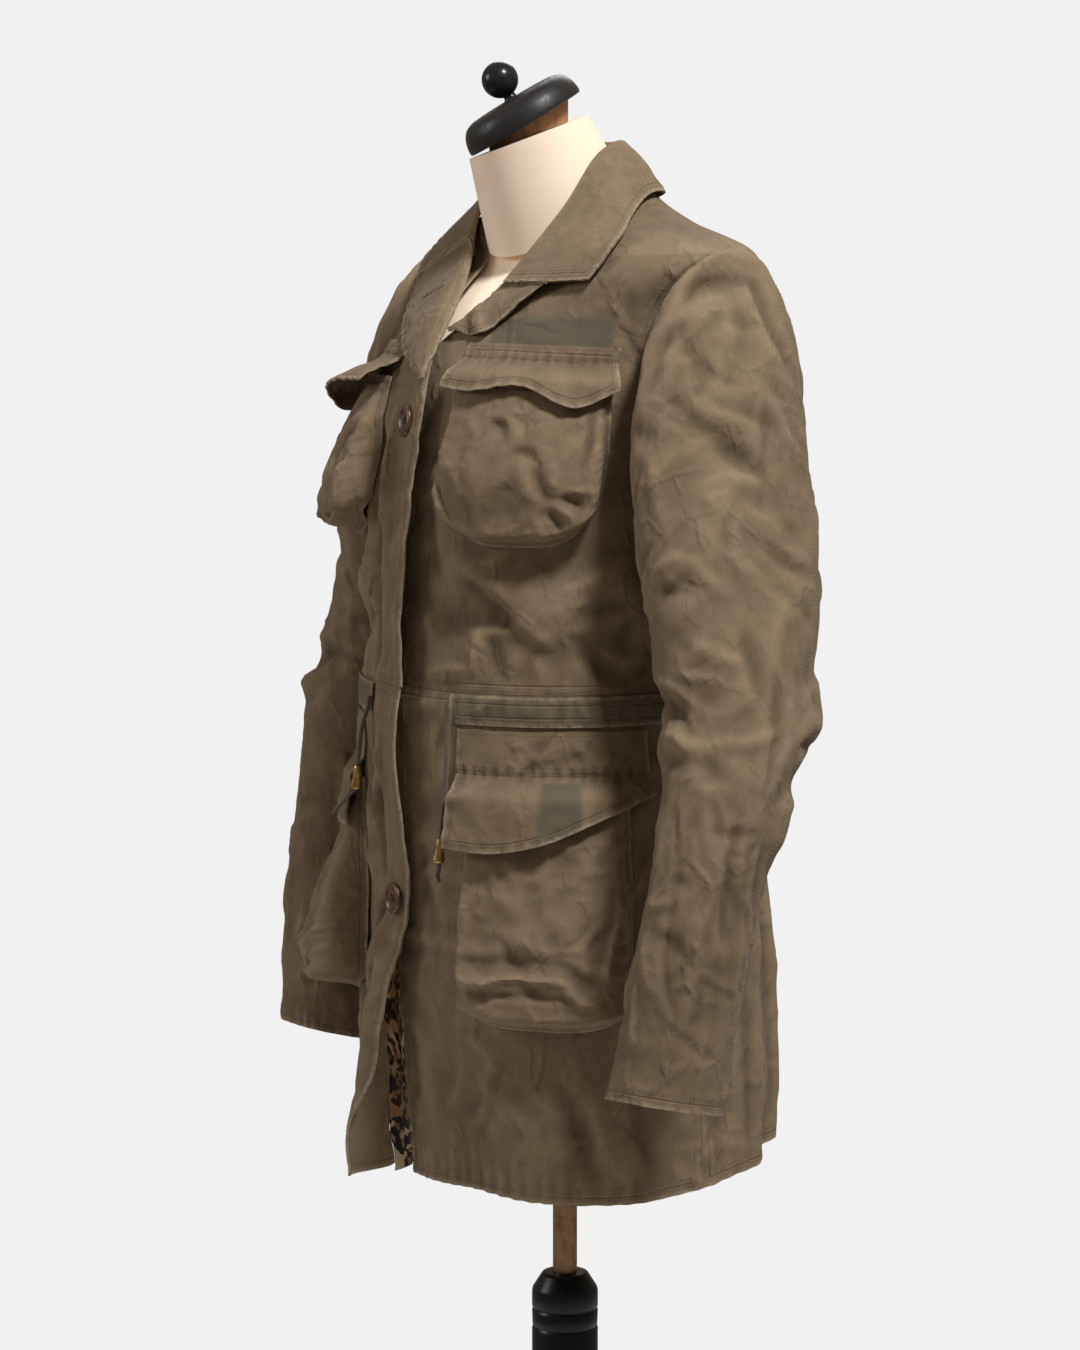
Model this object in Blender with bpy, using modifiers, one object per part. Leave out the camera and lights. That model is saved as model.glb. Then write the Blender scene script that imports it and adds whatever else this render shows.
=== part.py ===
# Field jacket with a women's closing, worn by a limbless padded form on a pole stand.
# Metres, +Z up. The front faces -Y, the wearer's left is +X, and the origin is on the floor
# on the pole's axis. Angles are degrees round the body from the centre front, positive
# towards the wearer's left. A level is the nominal height of a ring of the body.

import math

import bmesh
import bpy
import numpy as np
from mathutils import Vector

# Driving dimensions
cloth = 0.0016
facingCloth = 0.0012
seamGap = 0.0003
armholeGap = 0.0005
layerGap = 0.0004
patchGap = 0.0007
hemLevel = 0.645
hemRise = 0.020
waistLevel = 1.013
underarmLevel = 1.175
shoulderLevel = 1.330
neckLevel = 1.400
casingDepth = 0.023
armholeFront = 17.5
armholeBack = 27.0
ringPower = 2.25
frontOverlap = 0.0045
buttonDiameter = 0.0235
buttonThickness = 0.0036
cordDiameter = 0.0034
poleDiameter = 0.0185
columnDiameter = 0.0505
columnTop = 0.552
baseDiameter = 0.340
baseThickness = 0.007
formBottom = 0.780

partsCollection = "Field jacket on form"

twill = (0.140, 0.102, 0.062)
freshTwill = (0.095, 0.085, 0.056)
spotTan = (0.45, 0.27, 0.12)
creamCover = (0.80, 0.64, 0.48)
blackPaint = (0.012, 0.012, 0.013)
bareWood = (0.30, 0.14, 0.05)
bronze = (0.23, 0.14, 0.07)
brass = (0.50, 0.34, 0.12)
horn = (0.10, 0.045, 0.022)


def table(names, rows):
    """A short table as a dictionary of its named columns."""
    return dict(zip(names.split(), np.array(rows, float).T))


# Rings of the body under the cloth, from the hem to the neck
bodyRings = table(
    "level width front back centre sideZ frontZ backZ",
    [
        (0.600, 0.171, 0.124, 0.131, 0.000, 0.600, 0.600, 0.600),
        (0.645, 0.170, 0.128, 0.132, 0.000, 0.645, 0.645, 0.645),
        (0.760, 0.169, 0.138, 0.133, 0.000, 0.760, 0.760, 0.760),
        (0.880, 0.161, 0.142, 0.125, 0.000, 0.880, 0.880, 0.880),
        (0.960, 0.151, 0.147, 0.118, 0.000, 0.960, 0.960, 0.960),
        (1.005, 0.145, 0.145, 0.113, 0.000, 1.005, 1.005, 1.005),
        (1.090, 0.143, 0.140, 0.115, 0.001, 1.090, 1.090, 1.090),
        (1.175, 0.145, 0.138, 0.117, 0.005, 1.175, 1.175, 1.175),
        (1.240, 0.147, 0.133, 0.112, 0.011, 1.240, 1.242, 1.245),
        (1.290, 0.157, 0.107, 0.098, 0.018, 1.288, 1.286, 1.299),
        (1.330, 0.171, 0.080, 0.072, 0.020, 1.326, 1.311, 1.332),
        (1.365, 0.108, 0.067, 0.055, 0.015, 1.349, 1.321, 1.351),
        (1.400, 0.070, 0.061, 0.047, 0.008, 1.372, 1.330, 1.369),
        (1.430, 0.060, 0.055, 0.045, 0.002, 1.398, 1.352, 1.392),
    ],
)

# Folds of the body, each a straight ridge or trough with a soft end
bodyFolds = table(
    "fromAngle fromLevel toAngle toLevel width height",
    [
        (34, 1.178, 34, 1.170, 0.052, 0.012),
        (-34, 1.178, -34, 1.170, 0.052, 0.012),
        (22, 1.098, 58, 1.064, 0.017, 0.0050),
        (19, 1.066, 36, 1.060, 0.015, -0.0040),
        (60, 1.056, 76, 1.036, 0.018, -0.0050),
        (70, 1.094, 80, 1.060, 0.018, 0.0045),
        (-20, 1.096, -52, 1.058, 0.018, 0.0045),
        (-26, 1.060, -44, 1.036, 0.016, -0.0040),
        (-62, 1.062, -78, 1.036, 0.018, 0.0045),
        (46, 0.700, 50, 0.655, 0.030, 0.0050),
        (20, 0.720, 24, 0.650, 0.026, -0.0040),
        (76, 0.760, 80, 0.650, 0.024, -0.0050),
        (-56, 0.740, -60, 0.650, 0.026, 0.0050),
        (-80, 0.760, -78, 0.650, 0.024, -0.0050),
        (105, 0.850, 107, 0.650, 0.020, 0.0070),
        (118, 0.890, 120, 0.650, 0.020, -0.0060),
        (133, 0.880, 133, 0.650, 0.022, 0.0070),
        (149, 0.850, 150, 0.650, 0.020, -0.0050),
        (165, 0.900, 165, 0.650, 0.022, 0.0050),
        (181, 0.840, 181, 0.650, 0.020, -0.0050),
        (197, 0.900, 197, 0.650, 0.022, 0.0050),
        (213, 0.850, 212, 0.650, 0.020, -0.0050),
        (229, 0.880, 228, 0.650, 0.022, 0.0060),
        (243, 0.890, 242, 0.650, 0.020, -0.0060),
        (256, 0.850, 255, 0.650, 0.020, 0.0060),
        (118, 1.150, 142, 1.085, 0.020, 0.0050),
        (240, 1.140, 216, 1.080, 0.020, 0.0050),
        (128, 1.052, 168, 1.036, 0.018, 0.0045),
        (230, 1.054, 194, 1.038, 0.018, 0.0045),
        (150, 1.104, 205, 1.096, 0.020, -0.0040),
        (104, 1.064, 118, 1.036, 0.018, -0.0040),
    ],
)

# Sections of a sleeve by the distance down its outer side, for the wearer's left
sleeveRings = table(
    "reach outerX outerZ innerX innerZ centreY half blend",
    [
        (0.000, 0.171, 1.328, 0.1450, 1.1750, 0.014, 0.062, 0.00),
        (0.008, 0.177, 1.332, 0.1475, 1.1775, 0.014, 0.064, 0.22),
        (0.020, 0.183, 1.331, 0.1500, 1.1765, 0.014, 0.066, 0.55),
        (0.040, 0.189, 1.316, 0.1515, 1.1700, 0.013, 0.070, 0.85),
        (0.070, 0.196, 1.289, 0.1525, 1.1580, 0.011, 0.073, 1.00),
        (0.110, 0.204, 1.250, 0.1540, 1.1420, 0.009, 0.075, 1.00),
        (0.160, 0.215, 1.201, 0.1565, 1.1200, 0.007, 0.075, 1.00),
        (0.215, 0.230, 1.147, 0.1600, 1.0880, 0.004, 0.074, 1.00),
        (0.275, 0.248, 1.089, 0.1680, 1.0450, 0.001, 0.069, 1.00),
        (0.340, 0.269, 1.027, 0.1840, 0.9930, -0.009, 0.062, 1.00),
        (0.400, 0.283, 0.968, 0.2030, 0.9430, -0.024, 0.050, 1.00),
        (0.460, 0.286, 0.907, 0.2130, 0.8900, -0.037, 0.042, 1.00),
        (0.520, 0.283, 0.846, 0.2110, 0.8350, -0.048, 0.041, 1.00),
        (0.580, 0.277, 0.785, 0.2045, 0.7780, -0.056, 0.042, 1.00),
        (0.640, 0.268, 0.724, 0.1975, 0.7200, -0.064, 0.044, 1.00),
    ],
)
sleeveReach = 0.640
forwardSwing = {1: -0.004, -1: 0.004}
forearmSwing = {1: -0.016, -1: 0.0}
cuffRise = {1: 0.013, -1: -0.013}
cuffLean = 0.24

# Creases of a sleeve: round is degrees from the outer side towards the front
sleeveFolds = table(
    "fromRound fromReach toRound toReach width height",
    [
        (20, 0.034, 60, 0.080, 0.016, -0.0050),
        (345, 0.048, 20, 0.056, 0.016, -0.0035),
        (330, 0.090, 25, 0.165, 0.018, 0.0040),
        (25, 0.200, 60, 0.275, 0.018, 0.0045),
        (305, 0.210, 345, 0.285, 0.018, 0.0045),
        (270, 0.290, 325, 0.340, 0.018, -0.0050),
        (255, 0.350, 318, 0.362, 0.017, 0.0060),
        (262, 0.395, 325, 0.405, 0.017, -0.0050),
        (255, 0.435, 310, 0.432, 0.016, 0.0040),
        (60, 0.350, 108, 0.335, 0.018, -0.0045),
        (70, 0.390, 118, 0.378, 0.016, 0.0035),
        (8, 0.440, 45, 0.500, 0.018, 0.0035),
        (150, 0.260, 205, 0.280, 0.018, -0.0030),
        (340, 0.490, 15, 0.570, 0.018, -0.0030),
    ],
)

# Front edge of each front, in degrees past the centre line, from the waist to the neck
frontEdge = {
    1: table(
        "level angle",
        [(1.013, -8.0), (1.150, -8.0), (1.236, -8.0), (1.268, 1.5), (1.316, 21), (1.38, 42), (1.40, 60)],
    ),
    -1: table(
        "level angle",
        [(1.013, -5.6), (1.150, -6.6), (1.226, -8.4), (1.268, 0.0), (1.316, 13), (1.38, 36), (1.40, 60)],
    ),
}
skirtEdge = {1: -7.0, -1: -5.0}

# How far the right front's loose edge stands off the left front
looseEdge = table(
    "level stand",
    [
        (0.645, 0.002),
        (0.830, 0.003),
        (0.870, 0.005),
        (0.910, 0.007),
        (0.965, 0.013),
        (1.013, 0.010),
        (1.060, 0.013),
        (1.110, 0.012),
        (1.160, 0.009),
        (1.210, 0.008),
        (1.250, 0.004),
        (1.290, 0.000),
    ],
)

# How far the right skirt's free edge swings open below the last button
swingShare = table(
    "level share",
    [(0.640, 0.96), (0.710, 0.93), (0.750, 0.77), (0.800, 0.46), (0.835, 0.14), (0.870, 0.0)],
)
swingShift = (-0.052, -0.040)
swingRoot = -24.0

# Lapels, from the break up to the gorge: the roll line and the free edge
lapelRows = {
    -1: table(
        "station rollAngle rollLevel edgeAngle edgeLevel",
        [
            (0.00, -9.0, 1.2300, -7.6, 1.2290),
            (0.25, -3.0, 1.2550, 9.0, 1.2440),
            (0.50, 6.0, 1.2850, 28.0, 1.2640),
            (0.75, 15.5, 1.3150, 45.0, 1.2860),
            (1.00, 27.0, 1.3500, 53.5, 1.3040),
        ],
    ),
    1: table(
        "station rollAngle rollLevel edgeAngle edgeLevel",
        [
            (0.00, 1.8, 1.2690, 3.4, 1.2670),
            (0.50, 9.0, 1.2930, 17.0, 1.2740),
            (1.00, 16.5, 1.3160, 25.0, 1.3030),
        ],
    ),
}

# Collar from its right end round the back to its left end: seam and free edge lie on the
# body by angle and level, the fold line stands free
collarRows = table(
    "station seamAngle seamLevel foldX foldY foldZ edgeAngle edgeLevel",
    [
        (0, -30, 1.352, -0.0350, -0.0600, 1.3370, -53.0, 1.3130),
        (1, -50, 1.386, -0.0480, -0.0410, 1.3630, -65.0, 1.3500),
        (2, -75, 1.403, -0.0530, -0.0150, 1.3890, -80.0, 1.3760),
        (3, -100, 1.404, -0.0500, 0.0060, 1.4030, -103.0, 1.3900),
        (4, -135, 1.404, -0.0330, 0.0270, 1.4080, -138.0, 1.3900),
        (5, -180, 1.404, 0.0000, 0.0380, 1.4080, -180.0, 1.3800),
        (6, -225, 1.404, 0.0330, 0.0270, 1.4080, -222.0, 1.3900),
        (7, -260, 1.404, 0.0500, 0.0060, 1.4060, -257.0, 1.3920),
        (8, -285, 1.403, 0.0550, -0.0160, 1.3930, -278.0, 1.3770),
        (9, -311, 1.384, 0.0530, -0.0450, 1.3530, -292.0, 1.3500),
        (10, -336, 1.320, 0.0410, -0.0850, 1.3060, -304.0, 1.3090),
    ],
)

# Patch pockets with bellows: span in degrees, heights, how far the bag stands off at its
# mouth and at its fullest, and how round its lower corners are
chestBag = dict(span=(17.0, 64.0), top=1.2320, bottom=1.1190, mouth=0.0040, corner=0.030, narrowing=0.10)
hipBag = dict(span=(24.5, 71.0), top=0.9380, bottom=0.7720, mouth=0.0050, corner=0.016, narrowing=0.04)
bagBulge = {("chest", 1): 0.016, ("chest", -1): 0.027, ("hip", 1): 0.023, ("hip", -1): 0.040}
bagFullest = {("chest", 1): 0.62, ("chest", -1): 0.86, ("hip", 1): 0.80, ("hip", -1): 0.86}
gussetWidth = 0.012

# Flaps: the lower edge by its share across from the closing outwards
chestFlapEdge = {
    1: table(
        "across level",
        [(0.0, 1.225), (0.25, 1.222), (0.5, 1.227), (0.76, 1.215), (1.0, 1.229)],
    ),
    -1: table(
        "across level",
        [(0.0, 1.224), (0.3, 1.221), (0.55, 1.214), (0.80, 1.203), (1.0, 1.209)],
    ),
}
hipFlapRow = table(
    "across level",
    [(0.0, 0.9040), (0.3, 0.9030), (0.5, 0.9100), (0.7, 0.9230), (1.0, 0.9420)],
)
hipFlapEdge = {1: hipFlapRow, -1: hipFlapRow}
chestFlap = dict(span=(16.0, 65.0), top=1.2600, stitch=1.2490, edge=chestFlapEdge)
hipFlap = dict(span=(23.5, 77.0), top=0.9870, stitch=0.9560, edge=hipFlapEdge)
flapLift = {("chest", 1): 0.017, ("chest", -1): 0.034, ("hip", 1): 0.019, ("hip", -1): 0.016}

# Drawstring routes, chosen by hand from the casing's end to the brass end
drawstringRoutes = {
    "left": [
        (0.0556, -0.1425, 1.0010),
        (0.0562, -0.1436, 0.9920),
        (0.0570, -0.1462, 0.9750),
        (0.0570, -0.1475, 0.9500),
        (0.0560, -0.1495, 0.9250),
        (0.0555, -0.1510, 0.9080),
    ],
    "right": [
        (-0.0402, -0.1491, 1.0020),
        (-0.0408, -0.1503, 0.9930),
        (-0.0425, -0.1535, 0.9820),
        (-0.0450, -0.1550, 0.9650),
        (-0.0470, -0.1550, 0.9500),
    ],
}


# Smooth reading of the tables

def smooth(rows, key, name, at):
    """The named column read at any place by a cubic through its rows."""
    places = rows[key]
    values = rows[name]
    slopes = np.gradient(values, places)
    at = np.clip(at, places[0], places[-1])
    row = np.clip(np.searchsorted(places, at, side="right") - 1, 0, len(places) - 2)
    gap = places[row + 1] - places[row]
    t = (at - places[row]) / gap
    start = (2 * t**3 - 3 * t**2 + 1) * values[row] + (t**3 - 2 * t**2 + t) * gap * slopes[row]
    end = (3 * t**2 - 2 * t**3) * values[row + 1] + (t**3 - t**2) * gap * slopes[row + 1]
    return start + end


def ramp(value, start, end):
    """A soft step from 0 at start to 1 at end."""
    t = np.clip((value - start) / (end - start), 0, 1)
    return t * t * (3 - 2 * t)


def unit(vectors):
    return vectors / np.linalg.norm(vectors, axis=-1, keepdims=True)


def foldHeight(folds, across, along, acrossScale, keys):
    """Sum of the soft ridges and troughs at each point; across is in degrees and wraps."""
    height = np.zeros(np.broadcast(across, along).shape)
    fromAcross, fromAlong, toAcross, toAlong = keys
    for row in range(len(folds["height"])):
        startX = (across - folds[fromAcross][row] + 180) % 360 - 180
        startX = startX * acrossScale
        startY = along - folds[fromAlong][row]
        turn = (folds[toAcross][row] - folds[fromAcross][row] + 180) % 360 - 180
        runX = turn * acrossScale
        runY = folds[toAlong][row] - folds[fromAlong][row]
        share = np.clip((startX * runX + startY * runY) / (runX**2 + runY**2), 0, 1)
        distance = np.hypot(startX - share * runX, startY - share * runY)
        height = height + folds["height"][row] * np.exp(-((distance / folds["width"][row]) ** 2))
    return height


# The body's skin, on which every panel lies

def bodySurface(angle, level):
    turn = np.radians(angle)
    side = np.sin(turn)
    ahead = np.cos(turn)
    column = {name: smooth(bodyRings, "level", name, level) for name in bodyRings if name != "level"}
    depth = np.where(ahead > 0, column["front"], column["back"])
    tipZ = np.where(ahead > 0, column["frontZ"], column["backZ"])
    sum_ = np.abs(side / column["width"]) ** ringPower + np.abs(ahead / depth) ** ringPower
    radius = sum_ ** (-1 / ringPower)
    z = tipZ * ahead**2 + column["sideZ"] * side**2
    return np.stack([radius * side, column["centre"] - radius * ahead, z], axis=-1)


def bodyNormal(surface, angle, level):
    round_ = surface(angle + 0.05, level) - surface(angle - 0.05, level)
    upward = surface(angle, level + 0.0004) - surface(angle, level - 0.0004)
    return unit(np.cross(round_, upward))


def skin(angle, level):
    """The outer side of the cloth, folds included."""
    angle, level = np.broadcast_arrays(np.asarray(angle, float), np.asarray(level, float))
    height = foldHeight(
        bodyFolds, angle, level, 0.0027, ("fromAngle", "fromLevel", "toAngle", "toLevel")
    )
    normal = bodyNormal(bodySurface, angle, level)
    return bodySurface(angle, level) + normal * height[..., None]


def raised(angle, level, lift):
    """A point on the skin moved out along its normal."""
    angle, level, lift = np.broadcast_arrays(angle, level, lift)
    return skin(angle, level) + bodyNormal(skin, angle, level) * lift[..., None]


def swingOpen(angle, level):
    """How the right skirt's free edge swings forward and out below the last button."""
    share = smooth(swingShare, "level", "share", level) * ramp(angle, swingRoot, 9.0)
    shift = np.zeros(share.shape + (3,))
    shift[..., 0] = share * swingShift[0]
    shift[..., 1] = share * swingShift[1]
    return shift


# Making objects

def makeMaterial(name, colour, roughness, metallic=0.0):
    material = bpy.data.materials.new(name)
    material.use_nodes = True
    shader = material.node_tree.nodes["Principled BSDF"]
    shader.inputs["Base Color"].default_value = (*colour, 1.0)
    shader.inputs["Roughness"].default_value = roughness
    shader.inputs["Metallic"].default_value = metallic
    return material


def addObject(name, mesh, material):
    part = bpy.data.objects.new(name, mesh)
    collection.objects.link(part)
    part.data.materials.clear()
    part.data.materials.append(material)
    return part


def meshFrom(name, points, faces):
    mesh = bpy.data.meshes.new(name)
    mesh.from_pydata([tuple(point) for point in points], [], faces)
    form = bmesh.new()
    form.from_mesh(mesh)
    bmesh.ops.recalc_face_normals(form, faces=form.faces)
    form.to_mesh(mesh)
    form.free()
    mesh.shade_smooth()
    mesh.set_sharp_from_angle(angle=math.radians(40))
    return mesh


def stripFaces(grid, around):
    """Triangles of a grid of points, each square cut on its shorter diagonal."""
    rows, columns = grid.shape[:2]
    faces = []
    last = columns if around else columns - 1
    for row in range(rows - 1):
        for column in range(last):
            after = (column + 1) % columns
            a, b = row * columns + column, row * columns + after
            c, d = b + columns, a + columns
            first = np.linalg.norm(grid[row, column] - grid[row + 1, after])
            second = np.linalg.norm(grid[row, after] - grid[row + 1, column])
            faces += ((a, b, c), (a, c, d)) if first <= second else ((a, b, d), (b, c, d))
    return faces


def wallMesh(name, outer, inner, around=False):
    """A closed wall between two grids of points of the same shape."""
    rows, columns = outer.shape[:2]
    count = rows * columns
    points = np.concatenate([outer.reshape(-1, 3), inner.reshape(-1, 3)])
    faces = stripFaces(outer, around)
    faces += [tuple(corner + count for corner in face[::-1]) for face in faces]
    last = columns if around else columns - 1
    for row in (0, (rows - 1) * columns):
        for column in range(last):
            first = row + column
            second = row + (column + 1) % columns
            faces.append((first, second, second + count, first + count))
    if not around:
        for column in (0, columns - 1):
            for row in range(rows - 1):
                first = row * columns + column
                second = first + columns
                faces.append((first, second, second + count, first + count))
    return meshFrom(name, points, faces)


def wallFrom(name, surface, across, down, thickness, material):
    """A wall of cloth whose outer side is surface(across, down), facing away from the axis."""
    u, v = np.meshgrid(across, down)
    outer = surface(u, v)
    sideways = surface(u + 0.002, v) - surface(u - 0.002, v)
    downward = surface(u, v + 0.002) - surface(u, v - 0.002)
    normal = unit(np.cross(downward, sideways))
    if np.sum(normal * outer * (1, 1, 0)) < 0:
        normal = -normal
    return addObject(name, wallMesh(name, outer, outer - thickness * normal), material)


def panelWall(name, levels, first, last, columns, lift, material, extra=None):
    """A panel on the skin between two edges given in degrees at each level."""
    share = np.linspace(0, 1, columns)
    angle = first[:, None] * (1 - share) + last[:, None] * share
    level = np.repeat(levels[:, None], columns, axis=1)
    fromFront = abs(angle - 360 * (angle > 180))
    level = level + hemRise * ramp(fromFront, 70, 122) * ramp(level, 0.800, hemLevel)
    rise = lift(angle, level)
    outer = raised(angle, level, rise)
    inner = raised(angle, level, rise - cloth)
    if extra is not None:
        outer = outer + extra(angle, level)
        inner = inner + extra(angle, level)
    panelGrids[name] = (outer, inner)
    return addObject(name, wallMesh(name, outer, inner), material)


def gridPoints(grid, rows, columns):
    """Points of a grid at whole or part rows and columns, straight between its own points."""
    row = np.minimum(rows.astype(int), grid.shape[0] - 2)
    column = np.minimum(columns.astype(int), grid.shape[1] - 2)
    down = (rows - row)[:, None, None]
    across = (columns - column)[None, :, None]
    upper = grid[row][:, column] * (1 - across) + grid[row][:, column + 1] * across
    lower = grid[row + 1][:, column] * (1 - across) + grid[row + 1][:, column + 1] * across
    return upper * (1 - down) + lower * down


def layerOn(name, panel, rows, columns, outside, bulge, material):
    """A second layer made from the panel's own points, moved out or in by a seam's gap."""
    rows = np.array(rows, float)
    columns = np.array(columns, float)
    outer, inner = panelGrids[panel]
    top = gridPoints(outer, rows, columns)
    under = gridPoints(inner, rows, columns)
    normal = unit(top - under)
    swell = bulge * np.sin(np.pi * (rows - rows[0]) / (rows[-1] - rows[0]))[:, None, None]
    if outside:
        near = top + normal * (layerGap + swell)
        far = near + normal * facingCloth
    else:
        far = under - normal * layerGap
        near = far - normal * facingCloth
    return addObject(name, wallMesh(name, far, near), material)


# Levels of the rows and the side edges of the panels

def seamTurn(level):
    """Half of a seam's gap in degrees at this level."""
    return np.degrees(seamGap / 2 / smooth(bodyRings, "level", "width", level))


armholeMiddle = (shoulderLevel + underarmLevel) / 2
armholeHalf = (shoulderLevel - underarmLevel) / 2
armholeSteps = 10
frontColumns = 14
backColumns = 25
yokeColumns = 19
skirtRows = 12


def bodiceLevels():
    lower = np.linspace(waistLevel + seamGap / 2, underarmLevel, 6)[:-1]
    middle = armholeMiddle - armholeHalf * np.cos(np.linspace(0, np.pi, armholeSteps + 1))
    upper = np.linspace(shoulderLevel, neckLevel, 4)[1:]
    return np.concatenate([lower, middle, upper])


def skirtLevels(rows):
    """Rows of a skirt panel: its top, the casing's lower edge, then evenly to the hem."""
    casingEnd = waistLevel - seamGap / 2 - casingDepth
    return np.concatenate([[waistLevel - seamGap / 2], np.linspace(casingEnd, hemLevel, rows - 1)])


def armholeOffset(level):
    """Share of the armhole's depth in degrees at this level, nought outside it."""
    share = np.clip((level - armholeMiddle) / armholeHalf, -1, 1)
    return np.sqrt(1 - share**2)


def frontLift(side):
    def lift(angle, level):
        if side == 1:
            return np.zeros(angle.shape)
        nearEdge = ramp(angle, -26.0, -9.0)
        stand = smooth(looseEdge, "level", "stand", level)
        return frontOverlap * nearEdge + stand * ramp(angle, -10.0, 7.0)
    return lift


def noLift(angle, level):
    return np.zeros(angle.shape)


def makeFront(side, name):
    levels = bodiceLevels()
    edge = smooth(frontEdge[side], "level", "angle", levels)
    seam = 90 - seamTurn(levels) - armholeFront * armholeOffset(levels)
    panelWall(name, levels, side * edge, side * seam, frontColumns, frontLift(side), bodyMaterial)


def makeSkirtFront(side, name):
    levels = skirtLevels(skirtRows)
    edge = np.full(levels.shape, skirtEdge[side])
    seam = 90 - seamTurn(levels)
    extra = swingOpen if side == -1 else None
    panelWall(name, levels, side * edge, side * seam, frontColumns, frontLift(side), bodyMaterial, extra)


def makeBack():
    levels = bodiceLevels()
    seam = 90 + seamTurn(levels) + armholeBack * armholeOffset(levels)
    panelWall("back", levels, seam, 360 - seam, yokeColumns, noLift, bodyMaterial)


def makeSkirtBack():
    levels = skirtLevels(skirtRows)
    seam = 90 + seamTurn(levels)
    panelWall("skirt_back", levels, seam, 360 - seam, backColumns, noLift, bodyMaterial)


# Sleeves

def armholePlace(side, round_):
    """Angle and level of the armhole seam, just inside the panels' edges."""
    shrink = 1 - armholeGap / armholeHalf
    turn = np.radians(round_)
    depth = np.where(np.sin(turn) > 0, armholeFront, armholeBack)
    angle = 90 - depth * np.sin(turn) * shrink
    return side * angle, armholeMiddle + armholeHalf * np.cos(turn) * shrink


def sleeveCentre(side, reach):
    column = {name: smooth(sleeveRings, "reach", name, reach) for name in sleeveRings}
    x = (column["outerX"] + column["innerX"]) / 2
    z = (column["outerZ"] + column["innerZ"]) / 2
    y = column["centreY"] + forwardSwing[side] * ramp(reach, 0.0, 0.120)
    y = y + forearmSwing[side] * ramp(reach, 0.340, 0.470)
    z = z + cuffRise[side] * ramp(reach, 0.150, sleeveReach + 0.150) * 1.15
    return np.stack([side * x, y, z], axis=-1)


def smoothSleeve(side, round_, reach):
    column = {name: smooth(sleeveRings, "reach", name, reach) for name in sleeveRings}
    turn = np.radians(round_)
    halfX = (column["outerX"] - column["innerX"]) / 2
    halfZ = (column["outerZ"] - column["innerZ"]) / 2
    point = sleeveCentre(side, reach)
    halfY = column["half"] * np.sin(turn)
    lean = cuffLean * ramp(reach, 0.260, 0.440)
    point = point + np.stack(
        [side * halfX * np.cos(turn), -halfY, halfZ * np.cos(turn) + halfY * lean], axis=-1
    )
    blend = column["blend"][..., None]
    return point * blend + skin(*armholePlace(side, round_)) * (1 - blend)


def sleeveSurface(side):
    def creased(round_, reach):
        height = foldHeight(
            sleeveFolds,
            round_ + (0 if side == 1 else 14),
            reach,
            0.0010,
            ("fromRound", "fromReach", "toRound", "toReach"),
        )
        height = height * ramp(reach, 0.004, 0.030)
        inside = np.clip(reach, 0.001, sleeveReach - 0.001)
        sideways = smoothSleeve(side, round_ + 1, inside) - smoothSleeve(side, round_ - 1, inside)
        lower = smoothSleeve(side, round_, inside + 0.001)
        downward = lower - smoothSleeve(side, round_, inside - 0.001)
        normal = unit(np.cross(sideways, downward)) * side
        return smoothSleeve(side, round_, reach) + normal * height[..., None]
    return creased


def makeSleeve(side, name):
    around = np.arange(0, 360, 180 / armholeSteps)
    reach = np.concatenate([[0, 0.007, 0.018, 0.038], np.linspace(0.066, sleeveReach, 17)])
    u, v = np.meshgrid(around, reach)
    surface = sleeveSurface(side)
    outer = surface(u, v)
    sideways = surface(u + 0.4, v) - surface(u - 0.4, v)
    downward = surface(u, v + 0.002) - surface(u, np.maximum(v - 0.002, 0))
    normal = unit(np.cross(sideways, downward)) * side
    seamNormal = bodyNormal(skin, *armholePlace(side, around))
    normal[0] = seamNormal
    normal[1] = unit(normal[1] + seamNormal)
    addObject(name, wallMesh(name, outer, outer - cloth * normal, True), bodyMaterial)


# Collar and lapels

foldRadius = 0.0036
lapelStand = 0.0048


def collarSurface(u, v):
    """u runs along the collar, v from the neck seam over the fold to the free edge."""
    station = u * 10
    column = {name: smooth(collarRows, "station", name, station) for name in collarRows}
    seam = raised(column["seamAngle"], column["seamLevel"], 0.0016 + 0.0 * station)
    full = ramp(station, 1.0, 5.0)
    edge = raised(column["edgeAngle"], column["edgeLevel"], 0.0046 + 0.0020 * full)
    fold = np.stack([column["foldX"], column["foldY"], column["foldZ"]], axis=-1)
    out = edge - seam
    rise = unit(fold - (seam + edge) / 2)
    out = unit(out - rise * np.sum(out * rise, axis=-1, keepdims=True))
    inward = fold - out * foldRadius - rise * foldRadius
    outward = fold + out * foldRadius - rise * foldRadius
    share = v[..., None]
    stand = seam + (inward - seam) * np.clip(share / 0.30, 0, 1)
    turn = np.pi * np.clip((share - 0.30) / 0.16, 0, 1)
    top = fold - rise * foldRadius - out * foldRadius * np.cos(turn) + rise * foldRadius * np.sin(turn)
    down = np.clip((share - 0.46) / 0.54, 0, 1)
    leaf = outward + (edge - outward) * down
    bulge = (0.0025 + 0.0040 * full[..., None]) * np.sin(np.pi * down)
    leaf = leaf + (out * 0.35 + rise * 0.65) * bulge
    return np.where(share < 0.30, stand, np.where(share < 0.46, top, leaf))


def makeCollar():
    across = np.linspace(0, 1, 21)
    down = np.array([0, 0.15, 0.30, 0.35, 0.41, 0.46, 0.59, 0.73, 0.87, 1.0])
    u, v = np.meshgrid(across, down)
    outer = collarSurface(u, v)
    sideways = collarSurface(u + 0.004, v) - collarSurface(u - 0.004, v)
    downward = collarSurface(u, v + 0.01) - collarSurface(u, v - 0.01)
    normal = unit(np.cross(downward, sideways))
    if normal[4, 10, 2] < 0:
        normal = -normal
    addObject("collar", wallMesh("collar", outer, outer - 0.0020 * normal), bodyMaterial)


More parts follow.
